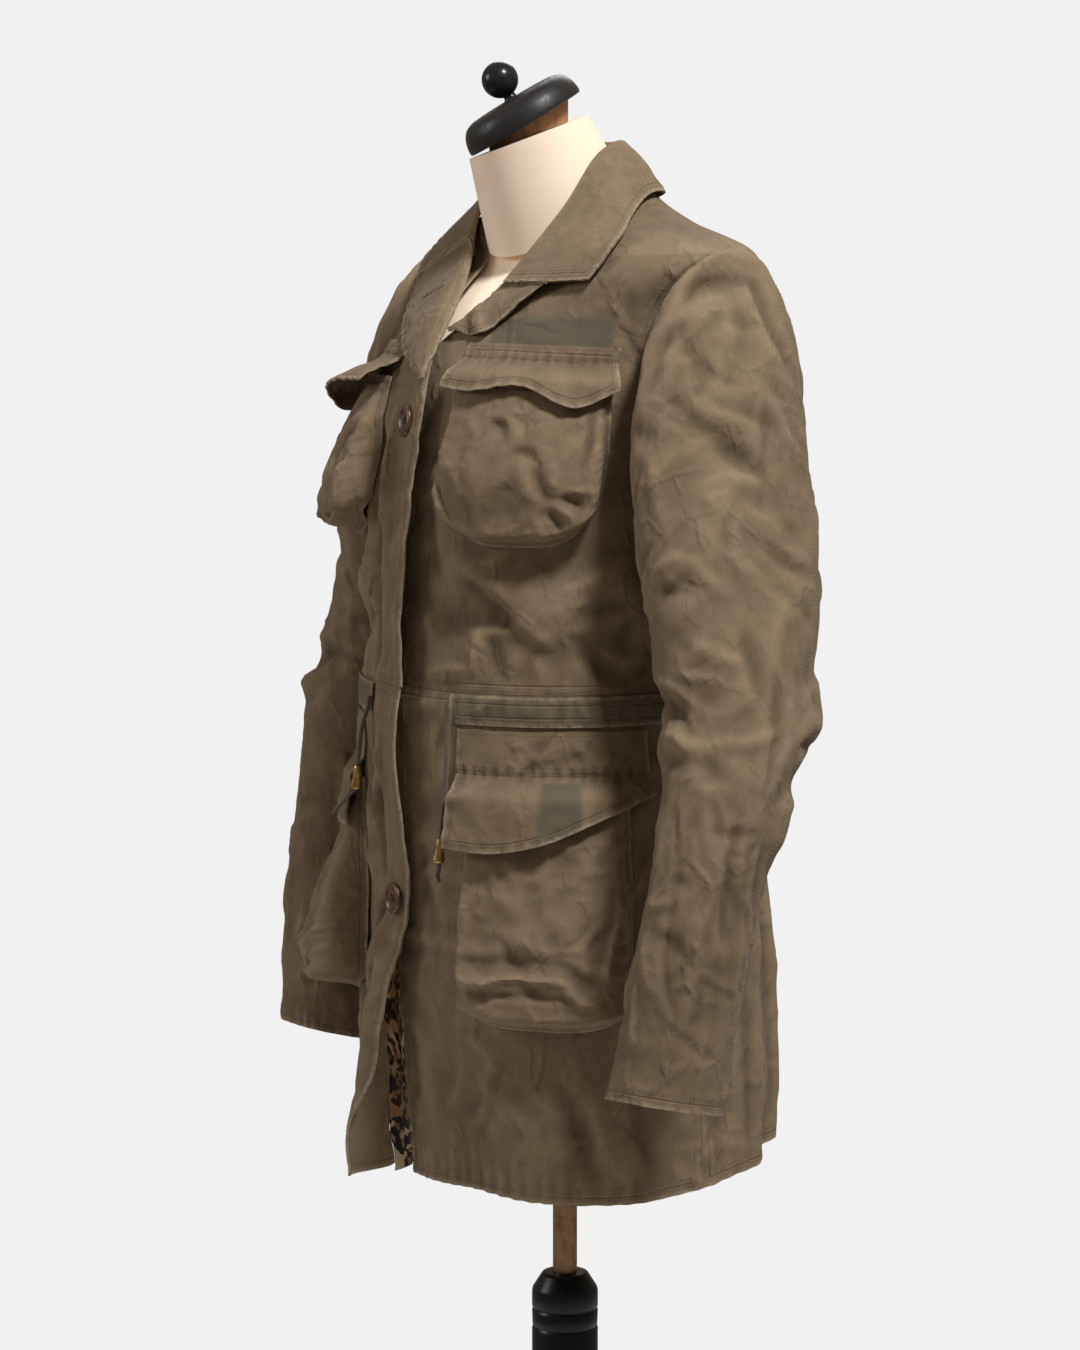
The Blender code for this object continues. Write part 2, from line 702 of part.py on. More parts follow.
def lapelSurface(side):
    rows = lapelRows[side]

    def surface(u, v):
        column = {name: smooth(rows, "station", name, v) for name in rows}
        angle = side * (column["rollAngle"] * (1 - u) + column["edgeAngle"] * u)
        level = column["rollLevel"] * (1 - u) + column["edgeLevel"] * u
        under = frontLift(side)(angle, level)
        rise = lapelStand - 0.0026 * (side == 1) * (1 - ramp(u, 0.0, 0.35))
        rise = rise + 0.0030 * np.sin(np.pi * np.clip(u, 0, 1)) * np.clip(v * 2, 0.3, 1)
        return raised(angle, level, under + rise)

    return surface


def makeLapel(side, name, columns, rows):
    wallFrom(
        name,
        lapelSurface(side),
        np.linspace(0, 1, columns),
        np.linspace(0, 1, rows),
        cloth,
        bodyMaterial,
    )


# Pockets

attachedLift = cloth + patchGap


def bagLift(kind, side, bag, u, v):
    width = math.radians(bag["span"][1] - bag["span"][0]) * 0.155
    height = bag["top"] - bag["bottom"]
    fromSide = np.clip(np.minimum(u, 1 - u), 0, 1) * width
    fromBottom = np.clip(1 - v, 0, 1) * height
    rise = ramp(fromSide, 0, gussetWidth) * ramp(fromBottom, 0, gussetWidth)
    full = bagBulge[kind, side]
    fullest = bagFullest[kind, side]
    depth = bag["mouth"] + (full - bag["mouth"]) * ramp(v, 0, fullest)
    return attachedLift + depth * rise + 0.0012 * ramp(v, 0.60, 1.0)


def bagSurface(kind, side, bag):
    def surface(u, v):
        middle = (bag["span"][0] + bag["span"][1]) / 2
        half = (bag["span"][1] - bag["span"][0]) / 2 * (1 - bag["narrowing"] * np.clip(v, 0, 1) ** 5)
        angle = side * (middle + half * (2 * u - 1))
        bottom = bag["bottom"] + bag["corner"] * np.abs(2 * u - 1) ** 4
        level = bag["top"] + (bottom - bag["top"]) * v
        return raised(angle, level, bagLift(kind, side, bag, u, v) + frontLift(side)(angle, level))

    return surface


def makeBag(kind, side, bag, name):
    across = np.array([0, 0.05, 0.12, 0.30, 0.50, 0.70, 0.88, 0.95, 1])
    down = np.array([0, 0.16, 0.34, 0.52, 0.68, 0.82, 0.90, 0.955, 1])
    wallFrom(name, bagSurface(kind, side, bag), across, down, cloth, bodyMaterial)


def flapSurface(kind, side, flap):
    def surface(u, v):
        angle = side * (flap["span"][0] + (flap["span"][1] - flap["span"][0]) * u)
        edge = smooth(flap["edge"][side], "across", "level", u)
        level = flap["top"] + (edge - flap["top"]) * v
        hanging = ramp(flap["stitch"] - level, 0.0, 0.018)
        reach = 0.036 if (kind, side) == ("chest", -1) else 0.060
        outward = ramp(flap["stitch"] - level, 0.008, reach) * (1 - 0.45 * ramp(u, 0.78, 1.0))
        depth = 0.0105 * hanging + (flapLift[kind, side] - 0.0105) * outward
        return raised(angle, level, attachedLift + depth + frontLift(side)(angle, level))

    return surface


def makeFlap(kind, side, flap, name):
    down = np.array([0, 0.18, 0.34, 0.50, 0.66, 0.83, 1])
    if kind == "hip":
        down = np.array([0, 0.20, 0.38, 0.50, 0.62, 0.80, 1])
    wallFrom(name, flapSurface(kind, side, flap), np.linspace(0, 1, 10), down, cloth, bodyMaterial)


# Waist casing, facing and lining

def makeCasing(name, panel, columns):
    layerOn(name, panel, [0.05, 0.5, 1.0], columns, True, 0.0010, freshMaterial)


def makeFacing():
    rows = np.arange(4, skirtRows)
    layerOn("facing_right", "skirt_right", rows, [0.06, 1, 2, 3, 3.4], False, 0.0, bodyMaterial)


def insideRight(first, last, top, depth):
    """A surface that hangs inside the right skirt, depth below its outer side."""
    def surface(u, v):
        angle = first + (last - first) * u
        level = top + (hemLevel + 0.004 - top) * v
        place = raised(angle, level, frontLift(-1)(angle, level) - depth(u, v))
        return place + swingOpen(angle, level)

    return surface


def liningDepth(u, v):
    hang = 0.024 * np.sin(np.pi * np.clip(u, 0, 1)) * ramp(v, 0.2, 0.95)
    wave = 0.003 * np.sin(np.pi * 6 * u) * ramp(v, 0.3, 1.0) * np.sin(np.pi * np.clip(u, 0, 1))
    return cloth + patchGap + 0.0012 + hang + wave


def makeLining():
    surface = insideRight(-19.6, -76.0, 0.880, liningDepth)
    across = np.linspace(0, 1, 13)
    down = np.linspace(0, 1, 8)
    wallFrom("lining_right", surface, across, down, facingCloth, liningMaterial)


# Buttons, drawstrings and their brass ends

def turned(name, profile, steps, material, place, direction):
    """A solid of revolution about its own z axis, profile from top to bottom on the outer side."""
    mesh = bpy.data.meshes.new(name)
    edges = [(index, index + 1) for index in range(len(profile) - 1)]
    mesh.from_pydata([(radius, 0.0, height) for radius, height in profile], edges, [])
    part = addObject(name, mesh, material)
    screw = part.modifiers.new("Turn", "SCREW")
    screw.steps = steps
    screw.render_steps = steps
    screw.use_merge_vertices = True
    screw.merge_threshold = 0.00005
    screw.use_smooth_shade = True
    part.location = place
    part.rotation_euler = Vector(direction).to_track_quat("Z", "Y").to_euler()
    return part


def rightFrontSurface(angle, level):
    """The outer side of the right front and its skirt."""
    angle = np.asarray(angle, float)
    level = np.asarray(level, float)
    return raised(angle, level, frontLift(-1)(angle, level)) + swingOpen(angle, level)


def makeButton(name, angle, level, stand):
    normal = bodyNormal(rightFrontSurface, angle, level)
    place = rightFrontSurface(angle, level) + normal * stand
    radius = buttonDiameter / 2
    top = buttonThickness
    profile = [
        (0.0, top * 0.62),
        (radius * 0.66, top * 0.62),
        (radius * 0.76, top),
        (radius * 0.93, top),
        (radius, top * 0.70),
        (radius * 0.96, top * 0.22),
        (radius * 0.80, 0.0),
        (0.0, 0.0),
    ]
    turned(name, profile, 16, hornMaterial, place, normal)


def routePoints(points, spacing):
    """A smooth curve through the route, read at even spacing."""
    corners = np.array(points, float)
    run = np.concatenate([[0], np.cumsum(np.linalg.norm(np.diff(corners, axis=0), axis=1))])
    rows = {"run": run, "x": corners[:, 0], "y": corners[:, 1], "z": corners[:, 2]}
    at = np.linspace(0, run[-1], max(4, round(run[-1] / spacing) + 1))
    return np.stack([smooth(rows, "run", axis, at) for axis in "xyz"], axis=-1)


def makeDrawstring(name, points):
    route = routePoints(points, cordDiameter * 2.4)
    curve = bpy.data.curves.new(name, "CURVE")
    curve.dimensions = "3D"
    curve.bevel_depth = cordDiameter / 2
    curve.bevel_resolution = 2
    curve.use_fill_caps = True
    spline = curve.splines.new("POLY")
    spline.points.add(len(route) - 1)
    for point, place in zip(spline.points, route):
        point.co = (*place, 1.0)
    addObject(name, curve, cordMaterial)


def makeCordEnd(name, side):
    tip = Vector(drawstringRoutes[side][-1])
    direction = (tip - Vector(drawstringRoutes[side][-2])).normalized()
    profile = [
        (0.0, 0.0),
        (0.0024, 0.0),
        (0.0028, -0.0012),
        (0.0030, -0.0060),
        (0.0044, -0.0150),
        (0.0044, -0.0165),
        (0.0036, -0.0172),
        (0.0, -0.0172),
    ]
    turned(name, profile, 8, brassMaterial, tip + direction * seamGap, -direction)


# Dress form

formInset = table(
    "level inset",
    [
        (0.780, 0.036),
        (0.860, 0.030),
        (0.960, 0.020),
        (1.010, 0.013),
        (1.090, 0.011),
        (1.175, 0.007),
        (1.240, 0.0045),
        (1.290, 0.0038),
        (1.330, 0.0038),
        (1.365, 0.0034),
        (1.385, 0.0064),
    ],
)
formLevels = (formBottom, 0.860, 0.960, 1.010, 1.090, 1.175, 1.240, 1.290, 1.312, 1.330, 1.353, 1.377)
neckBase = dict(centre=(0.0, -0.006, 1.352), width=0.0550, depth=0.0500, tilt=30.0, turn=0.0)
neckTop = dict(centre=(-0.002, -0.0315, 1.4110), width=0.0450, depth=0.0430, tilt=20.5, turn=29.0)
capTilt = 31.0
capRadius = 0.0466
capThickness = 0.0212
knobRadius = 0.0135
knobStem = 0.0029
blockRadius = 0.0290


def leanOf(turn):
    """Level direction in which the neck leans, turned towards the wearer's right."""
    return np.array((-math.sin(math.radians(turn)), -math.cos(math.radians(turn)), 0.0))


def tiltedRing(centre, width, depth, tilt, turn, angle):
    """A ring that is lower on the side to which it leans, by its tilt in degrees."""
    around = np.radians(angle)
    place = np.stack([width * np.sin(around), -depth * np.cos(around), 0 * around], axis=-1)
    drop = math.tan(math.radians(tilt)) * (place @ leanOf(turn))
    return np.array(centre) + place - drop[:, None] * np.array((0, 0, 1.0))


def closedLoft(name, rings, material):
    """A closed solid through rings of the same count of points, each end closed by one face."""
    rows = len(rings)
    columns = len(rings[0])
    points = np.concatenate(rings)
    faces = stripFaces(np.array(rings), True)
    faces.append(tuple(range(columns))[::-1])
    faces.append(tuple(range((rows - 1) * columns, rows * columns)))
    return addObject(name, meshFrom(name, points, faces), material)


def makeFormBody():
    angle = np.arange(0, 360, 360 / 26)
    rings = []
    for level in formLevels:
        inset = smooth(formInset, "level", "inset", level)
        at = np.full(angle.shape, level)
        normal = bodyNormal(bodySurface, angle, at)
        rings.append(bodySurface(angle, at) - normal * inset)
    rings[0][:, 2] = formBottom
    for share in (0.0, 0.35, 0.70, 1.0):
        mixed = {}
        for key in neckBase:
            mixed[key] = np.array(neckBase[key]) * (1 - share) + np.array(neckTop[key]) * share
        rings.append(tiltedRing(angle=angle, **mixed))
    closedLoft("form_body", rings, creamMaterial)


def capFrame():
    """The neck cap's underside centre and its axis; it rests on the neck's lowest edge."""
    lean = leanOf(neckTop["turn"])
    reach = (neckTop["width"] + neckTop["depth"]) / 2 - 0.0020
    slope = math.tan(math.radians(neckTop["tilt"]))
    hinge = np.array(neckTop["centre"]) + lean * reach - np.array((0, 0, reach * slope))
    tilt = math.radians(capTilt)
    rise = capRadius * math.sin(tilt) + 0.0012
    centre = hinge - lean * capRadius * math.cos(tilt) + np.array((0, 0, rise))
    axis = lean * math.sin(tilt) + np.array((0, 0, math.cos(tilt)))
    return centre, tuple(axis)


def makeNeckBlock():
    angle = np.arange(0, 360, 20)
    capCentre, _ = capFrame()
    lower = np.array(neckTop["centre"]) + (0, 0, seamGap * 1.3)
    middle = np.array((lower[0], lower[1], 0.0))
    rise = np.array((capCentre[0], capCentre[1], 0.0)) - middle
    drop = math.tan(math.radians(capTilt)) * (rise @ leanOf(neckTop["turn"]))
    upper = np.array((lower[0], lower[1], capCentre[2] + drop - seamGap * 1.5))
    rings = [
        tiltedRing(lower, blockRadius, blockRadius, neckTop["tilt"], neckTop["turn"], angle),
        tiltedRing(upper, blockRadius, blockRadius, capTilt, neckTop["turn"], angle),
    ]
    closedLoft("neck_block", rings, woodMaterial)


def makeNeckCap():
    centre, axis = capFrame()
    thick = capThickness
    profile = [
        (0.0, thick),
        (capRadius * 0.60, thick * 0.99),
        (capRadius * 0.78, thick * 0.94),
        (capRadius * 0.89, thick * 0.80),
        (capRadius * 0.97, thick * 0.50),
        (capRadius, thick * 0.18),
        (capRadius * 0.985, 0.0),
        (0.0, 0.0),
    ]
    turned("neck_cap", profile, 26, blackMaterial, centre, axis)


def makeKnob():
    centre, axis = capFrame()
    stem = 0.0045
    rise = math.sqrt(knobRadius**2 - stem**2)
    start = math.acos(-rise / knobRadius)
    angles = np.linspace(0, start, 8)
    profile = [(knobRadius * math.sin(a), knobRadius * math.cos(a) + rise) for a in angles]
    profile += [(stem, -knobStem), (0.0, -knobStem)]
    place = np.array(centre) + np.array(axis) * (capThickness + seamGap + knobStem)
    turned("knob", profile, 18, blackMaterial, place, axis)


def makePole():
    bottom = columnTop + seamGap
    top = formBottom - seamGap
    bpy.ops.mesh.primitive_cylinder_add(
        vertices=18, radius=poleDiameter / 2, depth=top - bottom, location=(0, 0, (top + bottom) / 2)
    )
    pole = bpy.context.active_object
    mesh = pole.data
    place = pole.location.copy()
    bpy.data.objects.remove(pole)
    mesh.shade_smooth()
    mesh.set_sharp_from_angle(angle=math.radians(40))
    addObject("pole", mesh, bronzeMaterial).location = place


def makeColumn():
    radius = columnDiameter / 2
    foot = baseThickness + seamGap
    profile = [
        (0.0, columnTop),
        (radius * 0.66, columnTop),
        (radius * 0.72, columnTop - 0.0015),
        (radius * 0.97, columnTop - 0.0120),
        (radius, columnTop - 0.0150),
        (radius, columnTop - 0.0265),
        (radius * 0.96, columnTop - 0.0280),
        (radius, columnTop - 0.0295),
        (radius, columnTop - 0.0405),
        (radius * 0.96, columnTop - 0.0420),
        (radius, columnTop - 0.0435),
        (radius, 0.120),
        (radius * 1.10, 0.100),
        (radius * 1.30, 0.050),
        (radius * 1.70, 0.026),
        (radius * 1.75, foot),
        (0.0, foot),
    ]
    turned("column", profile, 20, blackMaterial, (0, 0, 0), (0, 0, 1))


def makeBase():
    radius = baseDiameter / 2
    profile = [
        (0.0, baseThickness),
        (radius * 0.94, baseThickness),
        (radius * 0.98, baseThickness * 0.86),
        (radius, baseThickness * 0.60),
        (radius, 0.001),
        (radius - 0.001, 0.0),
        (0.0, 0.0),
    ]
    turned("base", profile, 36, blackMaterial, (0, 0, 0), (0, 0, 1))


# Build

panelGrids = {}
for existing in list(bpy.data.objects):
    bpy.data.objects.remove(existing)

collection = bpy.data.collections.new(partsCollection)
bpy.context.scene.collection.children.link(collection)

bodyMaterial = makeMaterial("olive twill", twill, 0.92)
freshMaterial = makeMaterial("unfaded twill", freshTwill, 0.92)
liningMaterial = makeMaterial("spotted lining", spotTan, 0.55)
creamMaterial = makeMaterial("cream cover", creamCover, 0.85)
blackMaterial = makeMaterial("black paint", blackPaint, 0.35)
woodMaterial = makeMaterial("bare wood", bareWood, 0.60)
bronzeMaterial = makeMaterial("bronze tube", bronze, 0.35, 1.0)
brassMaterial = makeMaterial("brass", brass, 0.35, 1.0)
hornMaterial = makeMaterial("horn", horn, 0.40)
cordMaterial = makeMaterial("cord", freshTwill, 0.90)

makeFront(1, "front_left")
makeFront(-1, "front_right")
makeBack()
makeSkirtFront(1, "skirt_left")
makeSkirtFront(-1, "skirt_right")
makeSkirtBack()
makeSleeve(1, "sleeve_left")
makeSleeve(-1, "sleeve_right")
makeCollar()
makeLapel(-1, "lapel_right", 8, 8)
makeLapel(1, "lapel_left", 5, 7)

for sideName, side in (("left", 1), ("right", -1)):
    makeBag("chest", side, chestBag, "chest_bag_" + sideName)
    makeBag("hip", side, hipBag, "hip_bag_" + sideName)
    makeFlap("chest", side, chestFlap, "chest_flap_" + sideName)
    makeFlap("hip", side, hipFlap, "hip_flap_" + sideName)
    makeDrawstring("drawstring_" + sideName, drawstringRoutes[sideName])
    makeCordEnd("cord_end_" + sideName, sideName)

makeCasing("casing_left", "skirt_left", [3.7, 4, 5, 6, 7, 8, 9, 10, 11, 12, 12.99])
makeCasing("casing_back", "skirt_back", [0.01] + list(range(1, 24)) + [23.99])
makeCasing("casing_right", "skirt_right", [2.7, 3, 4, 5, 6, 7, 8, 9, 10, 11, 12, 12.99])
makeFacing()
makeLining()
makeButton("button_upper", 0.5, 1.203, layerGap)
makeButton("button_lower", -1.6, 0.856, layerGap + patchGap)

makeFormBody()
makeNeckBlock()
makeNeckCap()
makeKnob()
makePole()
makeColumn()
makeBase()
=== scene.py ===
import math

import bmesh
import bpy
import numpy as np
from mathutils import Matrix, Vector


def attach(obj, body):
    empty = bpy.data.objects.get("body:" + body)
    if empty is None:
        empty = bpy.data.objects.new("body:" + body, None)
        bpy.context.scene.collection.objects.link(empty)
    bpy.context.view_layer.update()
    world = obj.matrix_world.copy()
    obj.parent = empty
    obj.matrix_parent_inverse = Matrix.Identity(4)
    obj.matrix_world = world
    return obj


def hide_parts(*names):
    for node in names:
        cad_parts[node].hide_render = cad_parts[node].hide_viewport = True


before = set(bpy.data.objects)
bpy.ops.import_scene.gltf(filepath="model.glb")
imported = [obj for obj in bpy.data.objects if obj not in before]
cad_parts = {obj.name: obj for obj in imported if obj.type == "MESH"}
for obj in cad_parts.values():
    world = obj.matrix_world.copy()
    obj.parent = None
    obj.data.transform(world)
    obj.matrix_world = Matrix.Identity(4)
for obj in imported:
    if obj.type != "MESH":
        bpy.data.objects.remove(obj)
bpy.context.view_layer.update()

print("frame loaded")

# Camera and light

viewpoint = {"azimuth": 54.0, "distance": 2.8, "height": 1.33, "pitch": 6.5, "lens": 100.0, "shiftX": -0.0185}
studio = {
    "floor": (0.86, 0.86, 0.86), "floorRadius": 1.2,
    "backdrop": (0.880, 0.880, 0.880), "sky": (1.0, 0.87, 0.72), "skyStrength": 0.24,
    "keyAzimuth": 89.0, "keyHeight": 3.5, "keyDistance": 1.75, "keySize": 0.55, "keyPower": 101.0,
    "fillAzimuth": -32.0, "fillHeight": 2.0, "fillDistance": 2.6, "fillSize": 1.0, "fillPower": 20.0,
    "backAzimuth": 230.0, "backHeight": 2.8, "backDistance": 2.4, "backSize": 1.4, "backPower": 16.0,
}


def placed(name, data):
    piece = bpy.data.objects.new(name, data)
    bpy.context.scene.collection.objects.link(piece)
    return piece


def placeCamera():
    turn = math.radians(viewpoint["azimuth"])
    camera = bpy.data.cameras.new("camera")
    camera.lens = viewpoint["lens"]
    camera.sensor_width = 36.0
    camera.shift_x = viewpoint["shiftX"]
    camera.clip_end = 400.0
    holder = placed("camera", camera)
    reach = viewpoint["distance"]
    holder.location = (math.sin(turn) * reach, -math.cos(turn) * reach, viewpoint["height"])
    holder.rotation_euler = (math.radians(90 - viewpoint["pitch"]), 0, turn)
    bpy.context.scene.camera = holder


def placeLight(name):
    turn = math.radians(studio[name + "Azimuth"])
    lamp = bpy.data.lights.new(name + "Light", "AREA")
    lamp.shape = "DISK"
    lamp.size = studio[name + "Size"]
    lamp.energy = studio[name + "Power"]
    holder = placed(name + "Light", lamp)
    reach = studio[name + "Distance"]
    place = Vector((math.sin(turn) * reach, -math.cos(turn) * reach, studio[name + "Height"]))
    holder.location = place
    holder.rotation_euler = (Vector((0, 0, 1.0)) - place).to_track_quat("-Z", "Y").to_euler()


def makeStudio():
    world = bpy.data.worlds.new("studio")
    bpy.context.scene.world = world
    world.use_nodes = True
    tree = world.node_tree
    sky = tree.nodes["Background"]
    sky.inputs["Color"].default_value = (*studio["sky"], 1.0)
    sky.inputs["Strength"].default_value = studio["skyStrength"]
    paperSky = tree.nodes.new("ShaderNodeBackground")
    paperSky.inputs["Color"].default_value = (*studio["backdrop"], 1.0)
    path = tree.nodes.new("ShaderNodeLightPath")
    choose = tree.nodes.new("ShaderNodeMixShader")
    tree.links.new(path.outputs["Is Camera Ray"], choose.inputs[0])
    tree.links.new(sky.outputs[0], choose.inputs[1])
    tree.links.new(paperSky.outputs[0], choose.inputs[2])
    tree.links.new(choose.outputs[0], tree.nodes["World Output"].inputs["Surface"])
    bpy.context.scene.view_settings.view_transform = "Standard"
    for name in ("key", "fill", "back"):
        placeLight(name)
    paper = bpy.data.materials.new("paper")
    paper.use_nodes = True
    shader = paper.node_tree.nodes["Principled BSDF"]
    shader.inputs["Base Color"].default_value = (*studio["floor"], 1.0)
    shader.inputs["Roughness"].default_value = 1.0
    shader.inputs["Specular IOR Level"].default_value = 0.0
    rim = [math.radians(angle) for angle in range(0, 360, 5)]
    mesh = bpy.data.meshes.new("floor")
    reach = studio["floorRadius"]
    corners = [(reach * math.cos(angle), reach * math.sin(angle), 0) for angle in rim]
    mesh.from_pydata(corners, [], [tuple(range(len(rim)))])
    floor = placed("floor", mesh)
    floor.data.materials.append(paper)


placeCamera()
makeStudio()
print("camera and light placed")

# Sizes shared by all pieces, as in the part

jacket = {
    "cloth": 0.0016, "facingCloth": 0.0012, "layerGap": 0.0004, "patchGap": 0.0007, "seamGap": 0.0003,
    "hemLevel": 0.645, "hemRise": 0.020, "waistLevel": 1.013, "underarmLevel": 1.175, "shoulderLevel": 1.330,
    "neckLevel": 1.400, "casingDepth": 0.023, "armholeFront": 17.5, "armholeBack": 27.0, "ringPower": 2.25,
    "frontOverlap": 0.0045, "perDegree": 0.0027, "bandDepth": 0.022,
}
cloth = jacket["cloth"]


def table(names, rows):
    return dict(zip(names.split(), np.array(rows, float).T))


# A table of folds or creases, whose bend, width and height are given in millimetres
def reliefTable(names, rows):
    columns = table(names, rows)
    for name in {"bend", "width", "height"} & set(columns):
        columns[name] = columns[name] / 1000
    return columns


foldNames = "fromAcross fromAlong toAcross toAlong width height"
creaseNames = "fromAcross fromAlong toAcross toAlong bend width height"


# Rings of the body under the cloth, from the hem to the neck
bodyRings = table("level width front back centre sideZ frontZ backZ", [
    (0.6, 0.171, 0.124, 0.131, 0, 0.6, 0.6, 0.6), (0.645, 0.17, 0.128, 0.132, 0, 0.645, 0.645, 0.645),
    (0.76, 0.169, 0.138, 0.133, 0, 0.76, 0.76, 0.76), (0.88, 0.161, 0.142, 0.125, 0, 0.88, 0.88, 0.88),
    (0.96, 0.151, 0.147, 0.118, 0, 0.96, 0.96, 0.96), (1.005, 0.145, 0.145, 0.113, 0, 1.005, 1.005, 1.005),
    (1.09, 0.143, 0.14, 0.115, 0.001, 1.09, 1.09, 1.09),
    (1.175, 0.145, 0.138, 0.117, 0.005, 1.175, 1.175, 1.175),
    (1.24, 0.147, 0.133, 0.112, 0.011, 1.24, 1.242, 1.245),
    (1.29, 0.157, 0.107, 0.098, 0.018, 1.288, 1.286, 1.299),
    (1.33, 0.171, 0.08, 0.072, 0.02, 1.326, 1.311, 1.332),
    (1.365, 0.108, 0.067, 0.055, 0.015, 1.349, 1.321, 1.351),
    (1.4, 0.07, 0.061, 0.047, 0.008, 1.372, 1.33, 1.369),
    (1.43, 0.06, 0.055, 0.045, 0.002, 1.398, 1.352, 1.392),
])

# Folds of the body, each a straight ridge or trough with a soft end
bodyFolds = reliefTable(foldNames, [
    (34, 1.178, 34, 1.17, 52, 12), (-34, 1.178, -34, 1.17, 52, 12), (22, 1.098, 58, 1.064, 17, 5),
    (19, 1.066, 36, 1.06, 15, -4), (60, 1.056, 76, 1.036, 18, -5), (70, 1.094, 80, 1.06, 18, 4.5),
    (-20, 1.096, -52, 1.058, 18, 4.5), (-26, 1.06, -44, 1.036, 16, -4), (-62, 1.062, -78, 1.036, 18, 4.5),
    (46, 0.7, 50, 0.655, 30, 5), (20, 0.72, 24, 0.65, 26, -4), (76, 0.76, 80, 0.65, 24, -5),
    (-56, 0.74, -60, 0.65, 26, 5), (-80, 0.76, -78, 0.65, 24, -5), (105, 0.85, 107, 0.65, 20, 7),
    (118, 0.89, 120, 0.65, 20, -6), (133, 0.88, 133, 0.65, 22, 7), (149, 0.85, 150, 0.65, 20, -5),
    (165, 0.9, 165, 0.65, 22, 5), (181, 0.84, 181, 0.65, 20, -5), (197, 0.9, 197, 0.65, 22, 5),
    (213, 0.85, 212, 0.65, 20, -5), (229, 0.88, 228, 0.65, 22, 6), (243, 0.89, 242, 0.65, 20, -6),
    (256, 0.85, 255, 0.65, 20, 6), (118, 1.15, 142, 1.085, 20, 5), (240, 1.14, 216, 1.08, 20, 5),
    (128, 1.052, 168, 1.036, 18, 4.5), (230, 1.054, 194, 1.038, 18, 4.5), (150, 1.104, 205, 1.096, 20, -4),
    (104, 1.064, 118, 1.036, 18, -4),
])

# Sections of a sleeve by the distance down its outer side, for the wearer's left
sleeveRings = table("reach outerX outerZ innerX innerZ centreY half blend", [
    (0, 0.171, 1.328, 0.145, 1.175, 0.014, 0.062, 0),
    (0.008, 0.177, 1.332, 0.1475, 1.1775, 0.014, 0.064, 0.22),
    (0.02, 0.183, 1.331, 0.15, 1.1765, 0.014, 0.066, 0.55),
    (0.04, 0.189, 1.316, 0.1515, 1.17, 0.013, 0.07, 0.85),
    (0.07, 0.196, 1.289, 0.1525, 1.158, 0.011, 0.073, 1),
    (0.11, 0.204, 1.25, 0.154, 1.142, 0.009, 0.075, 1),
    (0.16, 0.215, 1.201, 0.1565, 1.12, 0.007, 0.075, 1),
    (0.215, 0.23, 1.147, 0.16, 1.088, 0.004, 0.074, 1),
    (0.275, 0.248, 1.089, 0.168, 1.045, 0.001, 0.069, 1),
    (0.34, 0.269, 1.027, 0.184, 0.993, -0.009, 0.062, 1),
    (0.4, 0.283, 0.968, 0.203, 0.943, -0.024, 0.05, 1),
    (0.46, 0.286, 0.907, 0.213, 0.89, -0.037, 0.042, 1),
    (0.52, 0.283, 0.846, 0.211, 0.835, -0.048, 0.041, 1),
    (0.58, 0.277, 0.785, 0.2045, 0.778, -0.056, 0.042, 1),
    (0.64, 0.268, 0.724, 0.1975, 0.72, -0.064, 0.044, 1),
])
forwardSwing = {1: -0.004, -1: 0.004}
forearmSwing = {1: -0.016, -1: 0.0}
cuffRise = {1: 0.013, -1: -0.013}
cuffLean = 0.24

# Creases of a sleeve: round is degrees from the outer side towards the front
sleeveFolds = reliefTable(foldNames, [
    (20, 0.034, 60, 0.08, 16, -5), (345, 0.048, 20, 0.056, 16, -3.5), (330, 0.09, 25, 0.165, 18, 4),
    (25, 0.2, 60, 0.275, 18, 4.5), (305, 0.21, 345, 0.285, 18, 4.5), (270, 0.29, 325, 0.34, 18, -5),
    (255, 0.35, 318, 0.362, 17, 6), (262, 0.395, 325, 0.405, 17, -5), (255, 0.435, 310, 0.432, 16, 4),
    (60, 0.35, 108, 0.335, 18, -4.5), (70, 0.39, 118, 0.378, 16, 3.5), (8, 0.44, 45, 0.5, 18, 3.5),
    (150, 0.26, 205, 0.28, 18, -3), (340, 0.49, 15, 0.57, 18, -3),
])

# Front edge of each front, in degrees past the centre line, from the waist to the neck
frontEdge = {
    1: table("level angle", [
        (1.013, -8), (1.15, -8), (1.236, -8), (1.268, 1.5), (1.316, 21), (1.38, 42), (1.4, 60),
    ]),
    -1: table("level angle", [
        (1.013, -5.6), (1.15, -6.6), (1.226, -8.4), (1.268, 0), (1.316, 13), (1.38, 36), (1.4, 60),
    ]),
}
skirtEdge = {1: -7.0, -1: -5.0}

# How far the right front's loose edge stands off the left front
looseEdge = table("level stand", [
    (0.645, 0.002), (0.83, 0.003), (0.87, 0.005), (0.91, 0.007), (0.965, 0.013), (1.013, 0.01),
    (1.06, 0.013), (1.11, 0.012), (1.16, 0.009), (1.21, 0.008), (1.25, 0.004), (1.29, 0),
])

# How far the right skirt's free edge swings open below the last button
swingShare = table("level share", [
    (0.64, 0.96), (0.71, 0.93), (0.75, 0.77), (0.8, 0.46), (0.835, 0.14), (0.87, 0),
])
swingShift = (-0.052, -0.040)
swingRoot = -24.0
swingCurl = 0.42

